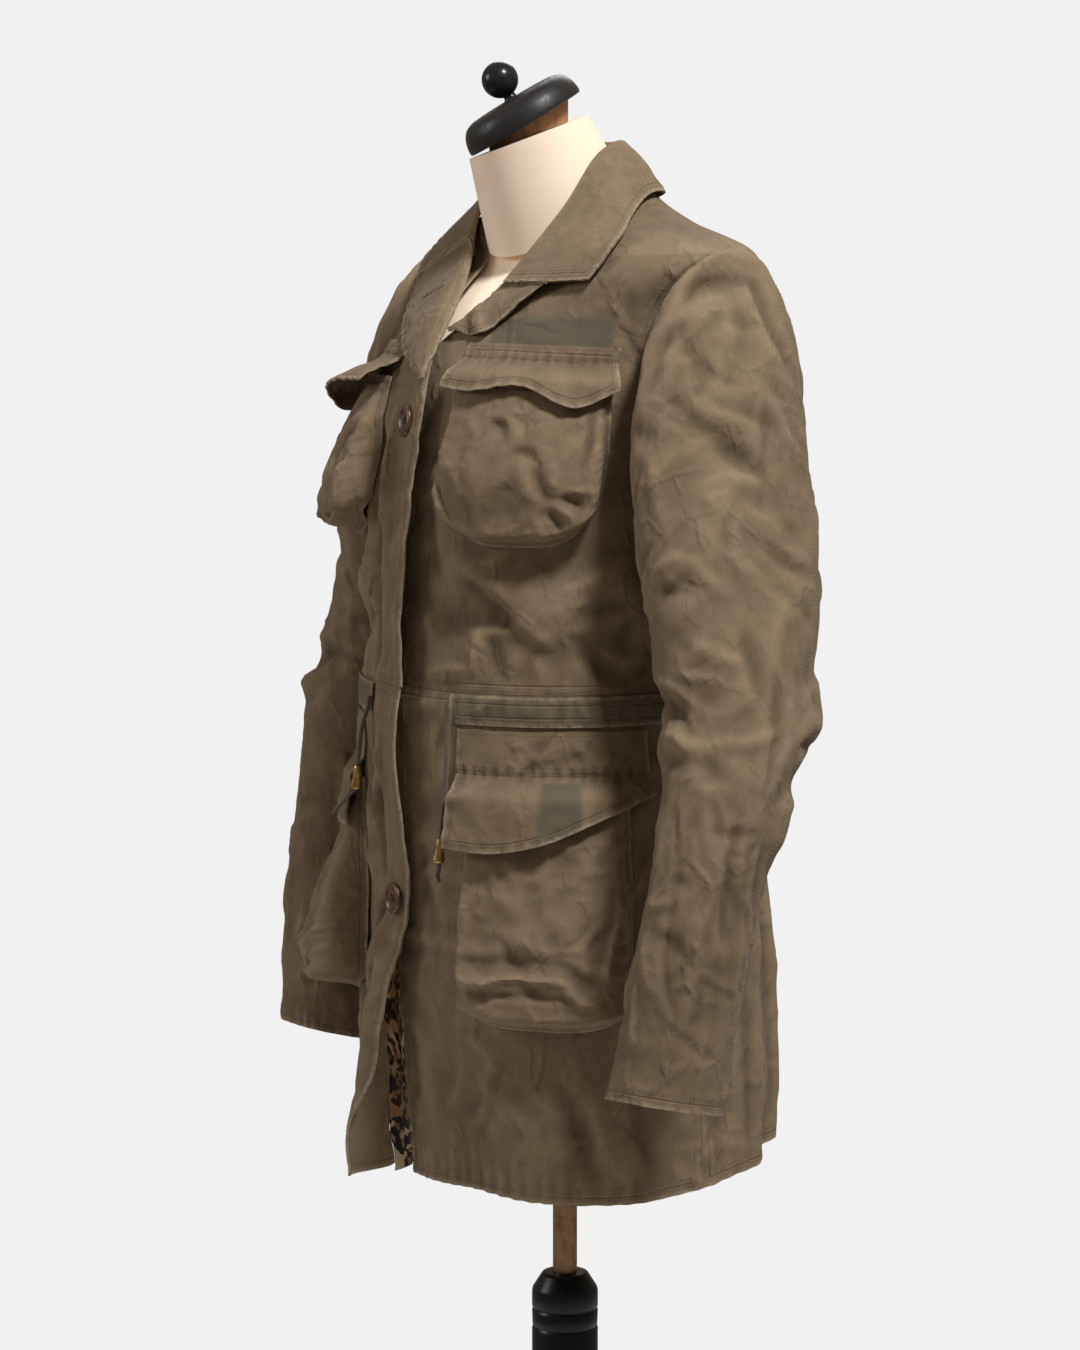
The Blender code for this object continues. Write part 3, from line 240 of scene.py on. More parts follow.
# Lapels, from the break up to the gorge: the roll line and the free edge
lapelRows = {
    -1: table("station rollAngle rollLevel edgeAngle edgeLevel", [
        (0, -9, 1.23, -7.6, 1.229), (0.25, -3, 1.255, 9, 1.244), (0.5, 6, 1.285, 28, 1.264),
        (0.75, 15.5, 1.315, 45, 1.286), (1, 27, 1.35, 53.5, 1.304),
    ]),
    1: table("station rollAngle rollLevel edgeAngle edgeLevel", [
        (0, 1.8, 1.269, 3.4, 1.267), (0.5, 9, 1.293, 17, 1.274), (1, 16.5, 1.316, 25, 1.303),
    ]),
}

# Collar from its right end round the back to its left end: seam and free edge lie on the
# body by angle and level, the fold line stands free
collarRows = table("station seamAngle seamLevel foldX foldY foldZ edgeAngle edgeLevel", [
    (0, -30, 1.352, -0.035, -0.06, 1.337, -53, 1.313), (1, -50, 1.386, -0.048, -0.041, 1.363, -65, 1.35),
    (2, -75, 1.403, -0.053, -0.015, 1.389, -80, 1.376), (3, -100, 1.404, -0.05, 0.006, 1.403, -103, 1.39),
    (4, -135, 1.404, -0.033, 0.027, 1.408, -138, 1.39), (5, -180, 1.404, 0, 0.038, 1.408, -180, 1.38),
    (6, -225, 1.404, 0.033, 0.027, 1.408, -222, 1.39), (7, -260, 1.404, 0.05, 0.006, 1.406, -257, 1.392),
    (8, -285, 1.403, 0.055, -0.016, 1.393, -278, 1.377),
    (9, -311, 1.384, 0.053, -0.045, 1.353, -292, 1.35),
    (10, -336, 1.32, 0.041, -0.085, 1.306, -304, 1.309),
])

# Patch pockets with bellows: span in degrees, heights, how far the bag stands off at its
# mouth and at its fullest, and how round its lower corners are
chestBag = dict(span=(17.0, 64.0), top=1.2320, bottom=1.1190, mouth=0.0040, corner=0.030, narrowing=0.10)
hipBag = dict(span=(24.5, 71.0), top=0.9380, bottom=0.7720, mouth=0.0050, corner=0.016, narrowing=0.04)
bagBulge = {("chest", 1): 0.016, ("chest", -1): 0.027, ("hip", 1): 0.023, ("hip", -1): 0.040}
bagFullest = {("chest", 1): 0.62, ("chest", -1): 0.86, ("hip", 1): 0.80, ("hip", -1): 0.86}

# Flaps: the lower edge by its share across from the closing outwards
chestFlapEdge = {
    1: table("across level", [
        (0, 1.225), (0.25, 1.222), (0.5, 1.227), (0.76, 1.215), (1, 1.229),
    ]),
    -1: table("across level", [
        (0, 1.224), (0.3, 1.221), (0.55, 1.214), (0.8, 1.203), (1, 1.209),
    ]),
}
hipFlapRow = table("across level", [
    (0, 0.904), (0.3, 0.903), (0.5, 0.91), (0.7, 0.923), (1, 0.942),
])
hipFlapEdge = {1: hipFlapRow, -1: hipFlapRow}
chestFlap = dict(span=(16.0, 65.0), top=1.2600, stitch=1.2490, edge=chestFlapEdge)
hipFlap = dict(span=(23.5, 77.0), top=0.9870, stitch=0.9560, edge=hipFlapEdge)
flapLift = {("chest", 1): 0.017, ("chest", -1): 0.034, ("hip", 1): 0.019, ("hip", -1): 0.016}

# Reading the tables

def smooth(rows, key, name, at):
    places = rows[key]
    values = rows[name]
    slopes = np.gradient(values, places)
    at = np.clip(at, places[0], places[-1])
    row = np.clip(np.searchsorted(places, at, side="right") - 1, 0, len(places) - 2)
    gap = places[row + 1] - places[row]
    t = (at - places[row]) / gap
    start = (2 * t**3 - 3 * t**2 + 1) * values[row] + (t**3 - 2 * t**2 + t) * gap * slopes[row]
    end = (3 * t**2 - 2 * t**3) * values[row + 1] + (t**3 - t**2) * gap * slopes[row + 1]
    return start + end


def ramp(value, start, end):
    t = np.clip((value - start) / (end - start), 0, 1)
    return t * t * (3 - 2 * t)


def unit(vectors):
    return vectors / np.maximum(np.linalg.norm(vectors, axis=-1, keepdims=True), 1e-12)


# An angle from -180 to 180 degrees
def halfTurn(angle):
    return (angle + 180) % 360 - 180


def foldHeight(folds, across, along, acrossScale):
    height = np.zeros(np.broadcast(across, along).shape)
    for fromAcross, fromAlong, toAcross, toAlong, width, size in zip(*folds.values()):
        startX = halfTurn(across - fromAcross) * acrossScale
        startY = along - fromAlong
        runX = halfTurn(toAcross - fromAcross) * acrossScale
        runY = toAlong - fromAlong
        share = np.clip((startX * runX + startY * runY) / (runX**2 + runY**2), 0, 1)
        distance = np.hypot(startX - share * runX, startY - share * runY)
        height = height + size * np.exp(-((distance / width) ** 2))
    return height


# Creases: each a bent line with soft ends; bend is its middle's shift sideways, in metres
def creaseHeight(creases, across, along, acrossScale):
    across, along = np.broadcast_arrays(across, along)
    height = np.zeros(across.shape)
    for fromAcross, fromAlong, toAcross, toAlong, bend, width, size in zip(*creases.values()):
        x = halfTurn(across - fromAcross) * acrossScale
        y = along - fromAlong
        endX = halfTurn(toAcross - fromAcross) * acrossScale
        endY = toAlong - fromAlong
        long = math.hypot(endX, endY)
        near = np.hypot(x - endX / 2, y - endY / 2) < long / 2 + abs(bend) + 3 * width
        if not near.any():
            continue
        x, y = x[near], y[near]
        alongLine = (x * endX + y * endY) / long**2
        aside = (x * endY - y * endX) / long
        share = np.clip(alongLine, 0, 1)
        aside = aside - bend * 4 * share * (1 - share)
        beyond = (alongLine - share) * long
        taper = 0.25 + 0.75 * np.sin(np.pi * np.clip(share, 0, 1)) ** 0.7
        spread = width * (0.55 + 0.45 * np.sin(np.pi * share) ** 0.6)
        distance = np.hypot(aside, beyond)
        steep = 1.6 if size > 0 else 2.0
        height[near] += size * taper * np.exp(-((distance / spread) ** steep))
    return height


# Small crinkles scattered with a fixed seed over part of a piece, each as uneven as the others
def crinkles(count, seed, across, along, acrossScale, long, wide, high, lean):
    rng = np.random.default_rng(seed)
    rows = []
    for _ in range(count):
        x, y = rng.uniform(*across), rng.uniform(*along)
        turn = lean + rng.normal(0, 0.75)
        length = rng.uniform(*long)
        stepX, stepY = math.cos(turn) * length / acrossScale, math.sin(turn) * length
        height = high * rng.uniform(0.45, 1.0) * rng.choice((-1.0, 1.0))
        rows.append((x, y, x + stepX, y + stepY, rng.normal(0, 0.10) * length, rng.uniform(*wide), height))
    return table(creaseNames, rows)


# Rumples: soft uneven relief from a wrapped lattice of fixed random heights
def lattice(x, y, cell, seed, wrap=None):
    rng = np.random.default_rng(seed)
    count = 64 if wrap is None else max(4, round(wrap / cell))
    values = rng.random((count, 64)) * 2 - 1
    gx = x / cell if wrap is None else x / wrap * count
    gy = y / cell
    ix, iy = np.floor(gx).astype(int), np.floor(gy).astype(int)
    fx, fy = gx - ix, gy - iy
    fx, fy = fx * fx * (3 - 2 * fx), fy * fy * (3 - 2 * fy)
    left, right = ix % count, (ix + 1) % count
    low, high = iy % 64, (iy + 1) % 64
    bottom = values[left, low] * (1 - fx) + values[right, low] * fx
    top = values[left, high] * (1 - fx) + values[right, high] * fx
    return bottom * (1 - fy) + top * fy


def rumple(x, y, cell, seed, wrap=None):
    warpX = lattice(x + 3.1, y + 1.7, cell * 1.7, seed + 11, wrap) * cell * 0.6
    warpY = lattice(x + 5.3, y + 8.9, cell * 1.7, seed + 12, wrap) * cell * 0.6
    broad = lattice(x + warpX, y + warpY, cell, seed, wrap)
    ridged = 1 - 2 * abs(lattice(x + warpX * 1.3, y + warpY, cell * 0.62, seed + 1, wrap))
    return 0.55 * broad + 0.48 * ridged + 0.16 * lattice(x, y, cell * 0.31, seed + 2, wrap)


# Puckers along a seam: uneven waves that fade away from it
def pucker(along, distance, size, pitch, reach, seed):
    phase = along / pitch * 2 * np.pi + 1.9 * lattice(along + 7.0, along * 0, pitch * 2.2, seed)
    strength = 0.65 + 0.35 * lattice(along + 2.0, along * 0, pitch * 3.1, seed + 1)
    return size * strength * np.sin(phase) * np.exp(-((distance / reach) ** 2))


print("tables read")

# The body's skin, on which every panel lies

bodyCreases = reliefTable(creaseNames, [
    # left front, under the chest pocket
    (20, 1.112, 41, 1.068, -4, 6, 2.6), (41, 1.07, 51, 1.048, 2, 6, 2.4),
    (24, 1.098, 40, 1.06, -3, 6.5, -2.8), (26, 1.056, 42, 1.063, 2, 5.5, 2),
    (29, 1.054, 29, 1.027, 3, 5, 2.2), (11, 1.024, 29, 1.028, -2, 5, 1.8),
    (33, 1.05, 38, 1.022, 2, 6, -2.2), (53, 1.088, 72, 1.112, 3, 7, 2.2),
    (55, 1.064, 72, 1.078, -4, 6.5, -2), (58, 1.05, 72, 1.022, 4, 7.5, -3),
    (46, 1.04, 50, 1.018, 1, 5, 1.6), (64, 1.044, 78, 1.036, 2, 6, 1.8), (9, 1.15, 15, 1.09, 2, 6, -1.4),
    (6, 1.08, 12, 1.045, -2, 5, 1.4),
    # upper chest and shoulder, left
    (30, 1.295, 62, 1.318, 4, 8, 1), (66, 1.3, 72, 1.24, 3, 7, -1.2), (70, 1.34, 60, 1.31, 2, 8, 1),
    # right front
    (-9, 1.215, -12, 1.13, 2, 4.5, 2.4), (-17, 1.2, -14, 1.1, -3, 5, -2.6),
    (-22, 1.165, -17, 1.06, 3, 5.5, 2.6), (-9, 0.985, -15, 0.9, 2, 5, 2.2),
    (-14, 0.965, -10, 0.87, -2, 5, -2.2), (-19, 0.935, -16, 0.84, 2, 5.5, 2.4),
    (-7, 0.862, -20, 0.802, 3, 5, -2.6), (-9, 0.835, -24, 0.75, 3, 6, 2.8),
    (-13, 0.8, -22, 0.69, -3, 6, -2.4), (-10, 1.18, -13, 1.06, 3, 5.5, 1.8),
    (-14, 1.12, -16, 1.02, -3, 5.5, -2), (-20, 1.1, -44, 1.064, 3, 6, 2.2),
    (-24, 1.07, -46, 1.044, -3, 6, -2.2), (-55, 1.1, -70, 1.07, 3, 7, 2), (-60, 1.05, -80, 1.03, -2, 6, 2),
    (-30, 1.04, -34, 1.018, 1, 5, 1.6),
    # skirts
    (14, 0.99, 18, 0.94, 3, 6, 1.4), (8, 0.9, 14, 0.82, 4, 8, -1.4), (4, 0.76, 10, 0.69, -4, 8, 1.4),
    (28, 0.74, 44, 0.7, 5, 9, 1.8), (52, 0.735, 60, 0.668, -4, 9, -2.2), (62, 0.72, 70, 0.66, 3, 8, 2.2),
    (72, 0.76, 76, 0.668, 4, 7, -2.4), (82, 0.9, 84, 0.74, 4, 8, 2.2), (90, 0.86, 92, 0.7, -4, 7, -2.6),
    (94, 0.84, 95, 0.67, 3, 5.5, -3), (98, 0.9, 99, 0.69, 3, 6, 3.6), (103, 0.8, 104, 0.668, -3, 6, -3.6),
    (108, 0.92, 107, 0.69, 4, 6.5, 3.4), (-30, 0.74, -46, 0.69, 4, 9, 1.8),
    (-62, 0.76, -66, 0.672, 3, 8, -2.2), (-84, 0.9, -86, 0.7, -4, 8, 2.4),
    (-96, 0.88, -95, 0.69, 4, 7, -2.4),
    # back
    (113, 0.9, 114, 0.675, -3, 6, -3.6), (119, 0.87, 118, 0.69, 3, 6, 3.2),
    (126, 0.93, 127, 0.69, 4, 6.5, -2.6), (140, 0.9, 141, 0.69, 3, 7, 2),
    (157, 0.93, 156, 0.7, -3, 6.5, 2), (173, 0.91, 174, 0.69, 4, 7, -2),
    (190, 0.92, 189, 0.7, 3, 6.5, -1.8), (205, 0.93, 204, 0.69, -4, 7, 2.2),
    (221, 0.92, 222, 0.7, 3, 6.5, -2.2), (236, 0.9, 235, 0.69, -3, 7, 2.4),
    (250, 0.93, 249, 0.69, 4, 7, -2.4), (118, 1.18, 146, 1.13, 6, 8, 2.4),
    (122, 1.14, 150, 1.092, 5, 7.5, -2.4), (242, 1.18, 214, 1.132, -6, 8, 2.4),
    (238, 1.138, 210, 1.09, -5, 7.5, -2.2), (150, 1.078, 178, 1.064, 3, 7, 2),
    (210, 1.076, 186, 1.058, -3, 7, 1.8), (136, 1.05, 150, 1.024, 2, 6, -2),
    (224, 1.05, 208, 1.024, -2, 6, -2), (165, 1.12, 200, 1.126, 4, 8, 1.4),
    (140, 1.27, 165, 1.23, 4, 8, 1.2), (220, 1.272, 196, 1.232, -4, 8, 1.2),
])


bodyScatter = {
    "count": 150, "seed": 8, "across": (0, 360), "along": (0.665, 1.235), "acrossScale": jacket["perDegree"],
    "long": (0.022, 0.070), "wide": (0.0030, 0.0062), "high": 0.0022, "lean": 0.5,
}
bodyCrinkles = crinkles(**bodyScatter)


def bodySurface(angle, level):
    turn = np.radians(angle)
    side = np.sin(turn)
    ahead = np.cos(turn)
    column = {name: smooth(bodyRings, "level", name, level) for name in bodyRings if name != "level"}
    depth = np.where(ahead > 0, column["front"], column["back"])
    tipZ = np.where(ahead > 0, column["frontZ"], column["backZ"])
    power = jacket["ringPower"]
    total = np.abs(side / column["width"]) ** power + np.abs(ahead / depth) ** power
    radius = total ** (-1 / power)
    z = tipZ * ahead**2 + column["sideZ"] * side**2
    return np.stack([radius * side, column["centre"] - radius * ahead, z], axis=-1)


def bodyNormal(surface, angle, level):
    aside = surface(angle + 0.05, level) - surface(angle - 0.05, level)
    upward = surface(angle, level + 0.0004) - surface(angle, level - 0.0004)
    return unit(np.cross(aside, upward))


def skin(angle, level):
    angle, level = np.broadcast_arrays(np.asarray(angle, float), np.asarray(level, float))
    height = foldHeight(bodyFolds, angle, level, jacket["perDegree"])
    return bodySurface(angle, level) + bodyNormal(bodySurface, angle, level) * height[..., None]


# Puckers are size, pitch and reach
bodyRelief = {
    "creases": 1.7, "besideOpening": 0.8, "rumple": 0.0023, "rumpleCell": 0.050, "wrinkle": 0.0006,
    "wrinkleCell": 0.019, "waistPucker": (0.0007, 0.011, 0.014), "hemPucker": (0.0011, 0.013, 0.016),
    "calmYoke": 0.75, "calmLeftSkirt": 0.5,
}


# The fine relief of the cloth, the same for every layer at one place
def fineRelief(angle, level):
    look, scale = bodyRelief, jacket["perDegree"]
    turned = np.asarray(angle, float) % 360
    x, wrap = turned * scale, 360 * scale
    calm = 1 - look["calmYoke"] * ramp(level, 1.20, 1.27)
    leftSkirt = ramp(turned, 4, 12) * (1 - ramp(turned, 78, 90)) * (1 - ramp(level, 0.74, 0.82))
    calm = calm * (1 - look["calmLeftSkirt"] * leftSkirt)
    strength = look["creases"] + look["besideOpening"] * ramp(turned, 312, 335)
    relief = strength * creaseHeight(bodyCreases, angle, level, scale)
    relief = relief + creaseHeight(bodyCrinkles, angle, level, scale)
    uneven = look["rumple"] * rumple(x, level, look["rumpleCell"], 5, wrap)
    uneven = uneven + look["wrinkle"] * rumple(x, level, look["wrinkleCell"], 6, wrap)
    relief = relief + calm * uneven
    waist = np.abs(level - jacket["waistLevel"] + 0.001)
    relief = relief + pucker(x, waist, *look["waistPucker"], 21)
    hem = np.clip(level - jacket["hemLevel"] - jacket["hemRise"] * 0.5, 0, 1)
    return relief + pucker(x, hem, *look["hemPucker"], 22)


def raised(angle, level, lift):
    angle, level, lift = np.broadcast_arrays(angle, level, lift)
    height = lift + fineRelief(angle, level)
    return skin(angle, level) + bodyNormal(skin, angle, level) * height[..., None]


# The right skirt's edge swings out, and its free edge rolls forward again
def swingOpen(angle, level):
    share = smooth(swingShare, "level", "share", level) * ramp(angle, swingRoot, 9.0)
    share = share * (1 - swingCurl * ramp(level, 0.672, 0.735) * ramp(angle, -6.0, 6.5))
    return np.stack([share * swingShift[0], share * swingShift[1], share * 0], axis=-1)


def frontLift(side):
    def lift(angle, level):
        if side == 1:
            return np.zeros(np.broadcast(angle, level).shape)
        stand = smooth(looseEdge, "level", "stand", level)
        return jacket["frontOverlap"] * ramp(angle, -26.0, -9.0) + stand * ramp(angle, -10.0, 7.0)
    return lift


armholeMiddle = (jacket["shoulderLevel"] + jacket["underarmLevel"]) / 2
armholeHalf = (jacket["shoulderLevel"] - jacket["underarmLevel"]) / 2


def armholeShare(level):
    return np.sqrt(1 - np.clip((level - armholeMiddle) / armholeHalf, -1, 1) ** 2)


def seamTurn(level):
    return np.degrees(jacket["seamGap"] / 2 / smooth(bodyRings, "level", "width", level))


# Making cloth meshes

sewn = {}      # outer and inner grids of each piece, for its seams


# Lines across a grid: even steps, with closer ones beside both edges for the seams
def gridShares(length, step, close=(0.0012, 0.0026, 0.0042, 0.0060, 0.0080), first=True, last=True):
    edge = [0.0] + list(np.array(close) / length)
    start = edge if first else [0.0]
    finish = [1 - share for share in edge[::-1]] if last else [1.0]
    count = max(2, int(round((finish[0] - start[-1]) * length / step)))
    middle = np.linspace(start[-1], finish[0], count + 1)[1:-1]
    return np.array(sorted(start + list(middle) + finish))


def gridNormal(grid, around=False):
    if around:
        wide = np.concatenate([grid[:, -1:], grid, grid[:, :1]], axis=1)
        across = (wide[:, 2:] - wide[:, :-2])
    else:
        across = np.gradient(grid, axis=1)
    down = np.gradient(grid, axis=0)
    return unit(np.cross(down, across))


def runLengths(grid, axis):
    steps = np.linalg.norm(np.diff(grid, axis=axis), axis=-1)
    pad = [(0, 0), (0, 0)]
    pad[axis] = (1, 0)
    return np.pad(np.cumsum(steps, axis=axis), pad)


# Point numbers of the cells of a grid
def cellCorners(row, column, after, columns):
    low, high = row * columns, (row + 1) * columns
    return np.stack([low + column, low + after, high + after, high + column], axis=1)


# Faces of a wall's outer side, inner side and rims, and the places of their corners in the cloth grid
def wallFaces(rows, columns, around):
    count, wide = rows * columns, columns + 1
    last = columns if around else columns - 1
    row, column = np.meshgrid(np.arange(rows - 1), np.arange(last), indexing="ij")
    row, column = row.ravel(), column.ravel()
    quad = cellCorners(row, column, (column + 1) % columns, columns)
    spot = cellCorners(row, column, column + 1, wide)
    faces, spots = [quad[:, ::-1], quad + count], [spot[:, ::-1], spot]
    row, column = np.arange(rows - 1), np.arange(last)
    after = (column + 1) % columns
    rims = []
    for at, flip in ((0, True), (rows - 1, False)):
        start = at * wide + column
        rims.append((at * columns + column, at * columns + after, start, start + 1, flip))
    for at, flip in () if around else ((0, False), (columns - 1, True)):
        start = row * columns + at, row * wide + at
        rims.append((start[0], start[0] + columns, start[1], start[1] + wide, flip))
    for a, b, start, end, flip in rims:
        turn = 1 if flip else -1
        faces.append(np.stack([a, b, b + count, a + count], axis=1)[:, ::turn])
        spots.append(np.stack([start, end, end, start], axis=1)[:, ::turn])
    return np.concatenate(faces), np.concatenate(spots)


def meshOf(name, points, faces):
    mesh = bpy.data.meshes.new(name)
    mesh.vertices.add(len(points))
    mesh.vertices.foreach_set("co", np.asarray(points, np.float32).ravel())
    mesh.loops.add(faces.size)
    mesh.loops.foreach_set("vertex_index", faces.astype(np.int32).ravel())
    mesh.polygons.add(len(faces))
    mesh.polygons.foreach_set("loop_start", np.arange(len(faces), dtype=np.int32) * faces.shape[1])
    mesh.update(calc_edges=True)
    mesh.validate()
    return mesh


def pointValue(mesh, name, values):
    layer = mesh.attributes.new(name, "FLOAT", "POINT")
    layer.data.foreach_set("value", np.asarray(values, np.float32).ravel())


wall = {"farAway": 0.2, "ridgeHeight": 0.0013, "averaging": 24, "sharpAngle": 50.0}


# A wall of cloth from its outer grid. The values at its points say how far the nearest seam and the
# nearest free edge are, what stands up as a ridge, and what is less faded. seams is all, ends or flap,
# and rim names the free edges: t top, b bottom, s start, e end.
def clothWall(name, outer, thickness, outwardAt, around=False, fresh=None, seams="all", rim="tbse"):
    normal = gridNormal(outer, around)
    faceOut = np.sum(normal * outwardAt) >= 0
    if not faceOut:
        normal = -normal
    inner = outer - normal * thickness
    rows, columns = outer.shape[:2]
    faces, spots = wallFaces(rows, columns, around)
    if not faceOut:
        faces, spots = faces[:, ::-1], spots[:, ::-1]
    mesh = meshOf(name, np.concatenate([outer.reshape(-1, 3), inner.reshape(-1, 3)]), faces)
    beyond = outer[:, :1] if around else outer[:, -1:]
    wide = np.concatenate([outer, beyond], axis=1)
    acrossRun, downRun = runLengths(wide, 1), runLengths(wide, 0)
    middle = acrossRun[rows // 2, columns // 2]
    place = np.stack([acrossRun - acrossRun[:, columns // 2][:, None] + middle, downRun], axis=-1)
    layer = mesh.uv_layers.new(name="cloth")
    layer.data.foreach_set("uv", place.reshape(-1, 2)[spots.ravel()].astype(np.float32).ravel())
    across, down = runLengths(outer, 1), runLengths(outer, 0)
    fromSides = np.minimum(across, across[:, -1:] - across)
    away = np.full((rows, columns), wall["farAway"])
    if seams == "flap":
        away = np.minimum(down[-1:] - down, fromSides)
        away = np.where(down < jacket["bandDepth"], wall["farAway"], away)
    else:
        away = np.minimum(away, np.minimum(down, down[-1:] - down))
    if seams == "all":
        away = np.minimum(away, fromSides)
    free = np.full((rows, columns), wall["farAway"])
    for side, far in (("t", down), ("b", down[-1:] - down), ("s", across), ("e", across[:, -1:] - across)):
        free = np.minimum(free, far) if side in rim else free
    bend = (outer - smoothed(outer, around)) * normal
    ridge = np.clip(bend.sum(axis=-1) / wall["ridgeHeight"], -1, 1)
    newness = np.zeros((rows, columns)) if fresh is None else fresh
    values = {
        "edge": (away, away), "rim": (free, free), "ridge": (ridge, ridge * 0), "fresh": (newness, newness),
    }
    for key, (outside, inside) in values.items():
        pointValue(mesh, key, np.concatenate([outside.ravel(), inside.ravel()]))
    mesh.shade_smooth()
    mesh.set_sharp_from_angle(angle=math.radians(wall["sharpAngle"]))
    piece = placed(name, mesh)
    sewn[name] = {"outer": outer, "normal": normal, "around": around}
    return piece


# The grid with its small relief averaged away
def smoothed(grid, around):
    out = grid.copy()
    for _ in range(wall["averaging"]):
        if around:
            sides = (np.roll(out, 1, axis=1) + np.roll(out, -1, axis=1)) / 2
        else:
            sides = out.copy()
            sides[:, 1:-1] = (out[:, 2:] + out[:, :-2]) / 2
        ends = out.copy()
        ends[1:-1] = (out[2:] + out[:-2]) / 2
        out = out * 0.4 + sides * 0.3 + ends * 0.3
    return out


def finishCloth(piece, node, material):
    piece.data.materials.append(material)
    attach(piece, "root")
    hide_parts(node)


print("cloth tools ready")

# Materials

twill = {
    "faded": (0.203, 0.148, 0.094), "deep": (0.143, 0.103, 0.062), "new": (0.094, 0.082, 0.055),
    "worn": (0.34, 0.275, 0.195), "wornShare": 0.62, "crumple": 0.0011,
    "weavePitch": 0.00085, "weaveDepth": 0.00006, "weaveTurn": 61.0, "wrinkleDepth": 0.00040,
    "grooveAway": 0.0062, "grooveDepth": 0.00045, "grooveWidth": 0.0011,
    "roughness": 0.88, "sheen": 0.05, "specular": 0.14,
}


class NodeBench:
    def __init__(self, name):
        self.material = bpy.data.materials.new(name)
        self.material.use_nodes = True
        self.tree = self.material.node_tree
        self.shader = self.tree.nodes["Principled BSDF"]

    def add(self, kind, **values):
        node = self.tree.nodes.new(kind)
        for key, value in values.items():
            setattr(node, key, value)
        return node

    def link(self, source, target):
        self.tree.links.new(source, target)

    def into(self, node, key, value):
        socket = node.inputs[key]
        if isinstance(value, bpy.types.NodeSocket):
            self.link(value, socket)
        elif isinstance(value, tuple) and len(value) == 3 and len(socket.default_value) == 4:
            socket.default_value = (*value, 1.0)
        else:
            socket.default_value = value

    def math(self, operation, first, second=0.0, clamp=False):
        node = self.add("ShaderNodeMath", operation=operation, use_clamp=clamp)
        self.into(node, 0, first)
        self.into(node, 1, second)
        return node.outputs[0]

    def mapped(self, value, fromMin, fromMax, toMin, toMax, soft=True):
        node = self.add("ShaderNodeMapRange", interpolation_type="SMOOTHSTEP" if soft else "LINEAR")
        self.into(node, "Value", value)
        limits = {"From Min": fromMin, "From Max": fromMax, "To Min": toMin, "To Max": toMax}
        for key, number in limits.items():
            node.inputs[key].default_value = number
        return node.outputs["Result"]

    def mix(self, factor, first, second, blend="MIX"):
        node = self.add("ShaderNodeMix", data_type="RGBA", blend_type=blend)
        self.into(node, "Factor", factor)
        self.into(node, 6, first)
        self.into(node, 7, second)
        return node.outputs[2]

    def noise(self, vector, scale, detail=3.0, rough=0.5, distortion=0.0):
        node = self.add("ShaderNodeTexNoise")
        self.into(node, "Vector", vector)
        self.into(node, "Scale", scale)
        self.into(node, "Detail", detail)
        self.into(node, "Roughness", rough)
        self.into(node, "Distortion", distortion)
        return node.outputs["Fac"]

    def scaled(self, vector, scale, turn=0.0):
        node = self.add("ShaderNodeMapping")
        self.into(node, "Vector", vector)
        node.inputs["Scale"].default_value = scale
        node.inputs["Rotation"].default_value = (0, 0, math.radians(turn))
        return node.outputs["Vector"]

    # A place that wanders off by a soft noise, for patterns that shall not look ruled
    def wandered(self, vector, scale, reach):
        wander = self.add("ShaderNodeTexNoise")
        self.into(wander, "Vector", vector)
        self.into(wander, "Scale", scale)
        shift = self.add("ShaderNodeVectorMath", operation="MULTIPLY_ADD")
        self.link(wander.outputs["Color"], shift.inputs[0])
        shift.inputs[1].default_value = reach
        self.link(vector, shift.inputs[2])
        return shift.outputs["Vector"]

    def objectPlace(self):
        return self.add("ShaderNodeTexCoord").outputs["Object"]

    def clothPlace(self):
        return self.add("ShaderNodeUVMap", uv_map="cloth").outputs["UV"]

    def value(self, name):
        return self.add("ShaderNodeAttribute", attribute_name=name).outputs["Fac"]

    # A bump from reliefs, each with its depth in metres
    def bumpAll(self, reliefs):
        height = 0.0
        for relief, depth in reliefs:
            height = self.math("ADD", height, self.math("MULTIPLY", relief, depth))
        node = self.add("ShaderNodeBump")
        node.inputs["Strength"].default_value = 1.0
        node.inputs["Distance"].default_value = 1.0
        self.link(height, node.inputs["Height"])
        self.link(node.outputs["Normal"], self.shader.inputs["Normal"])

    def settle(self, **values):
        for key, value in values.items():
            self.into(self.shader, key.replace("_", " "), value)
        return self.material


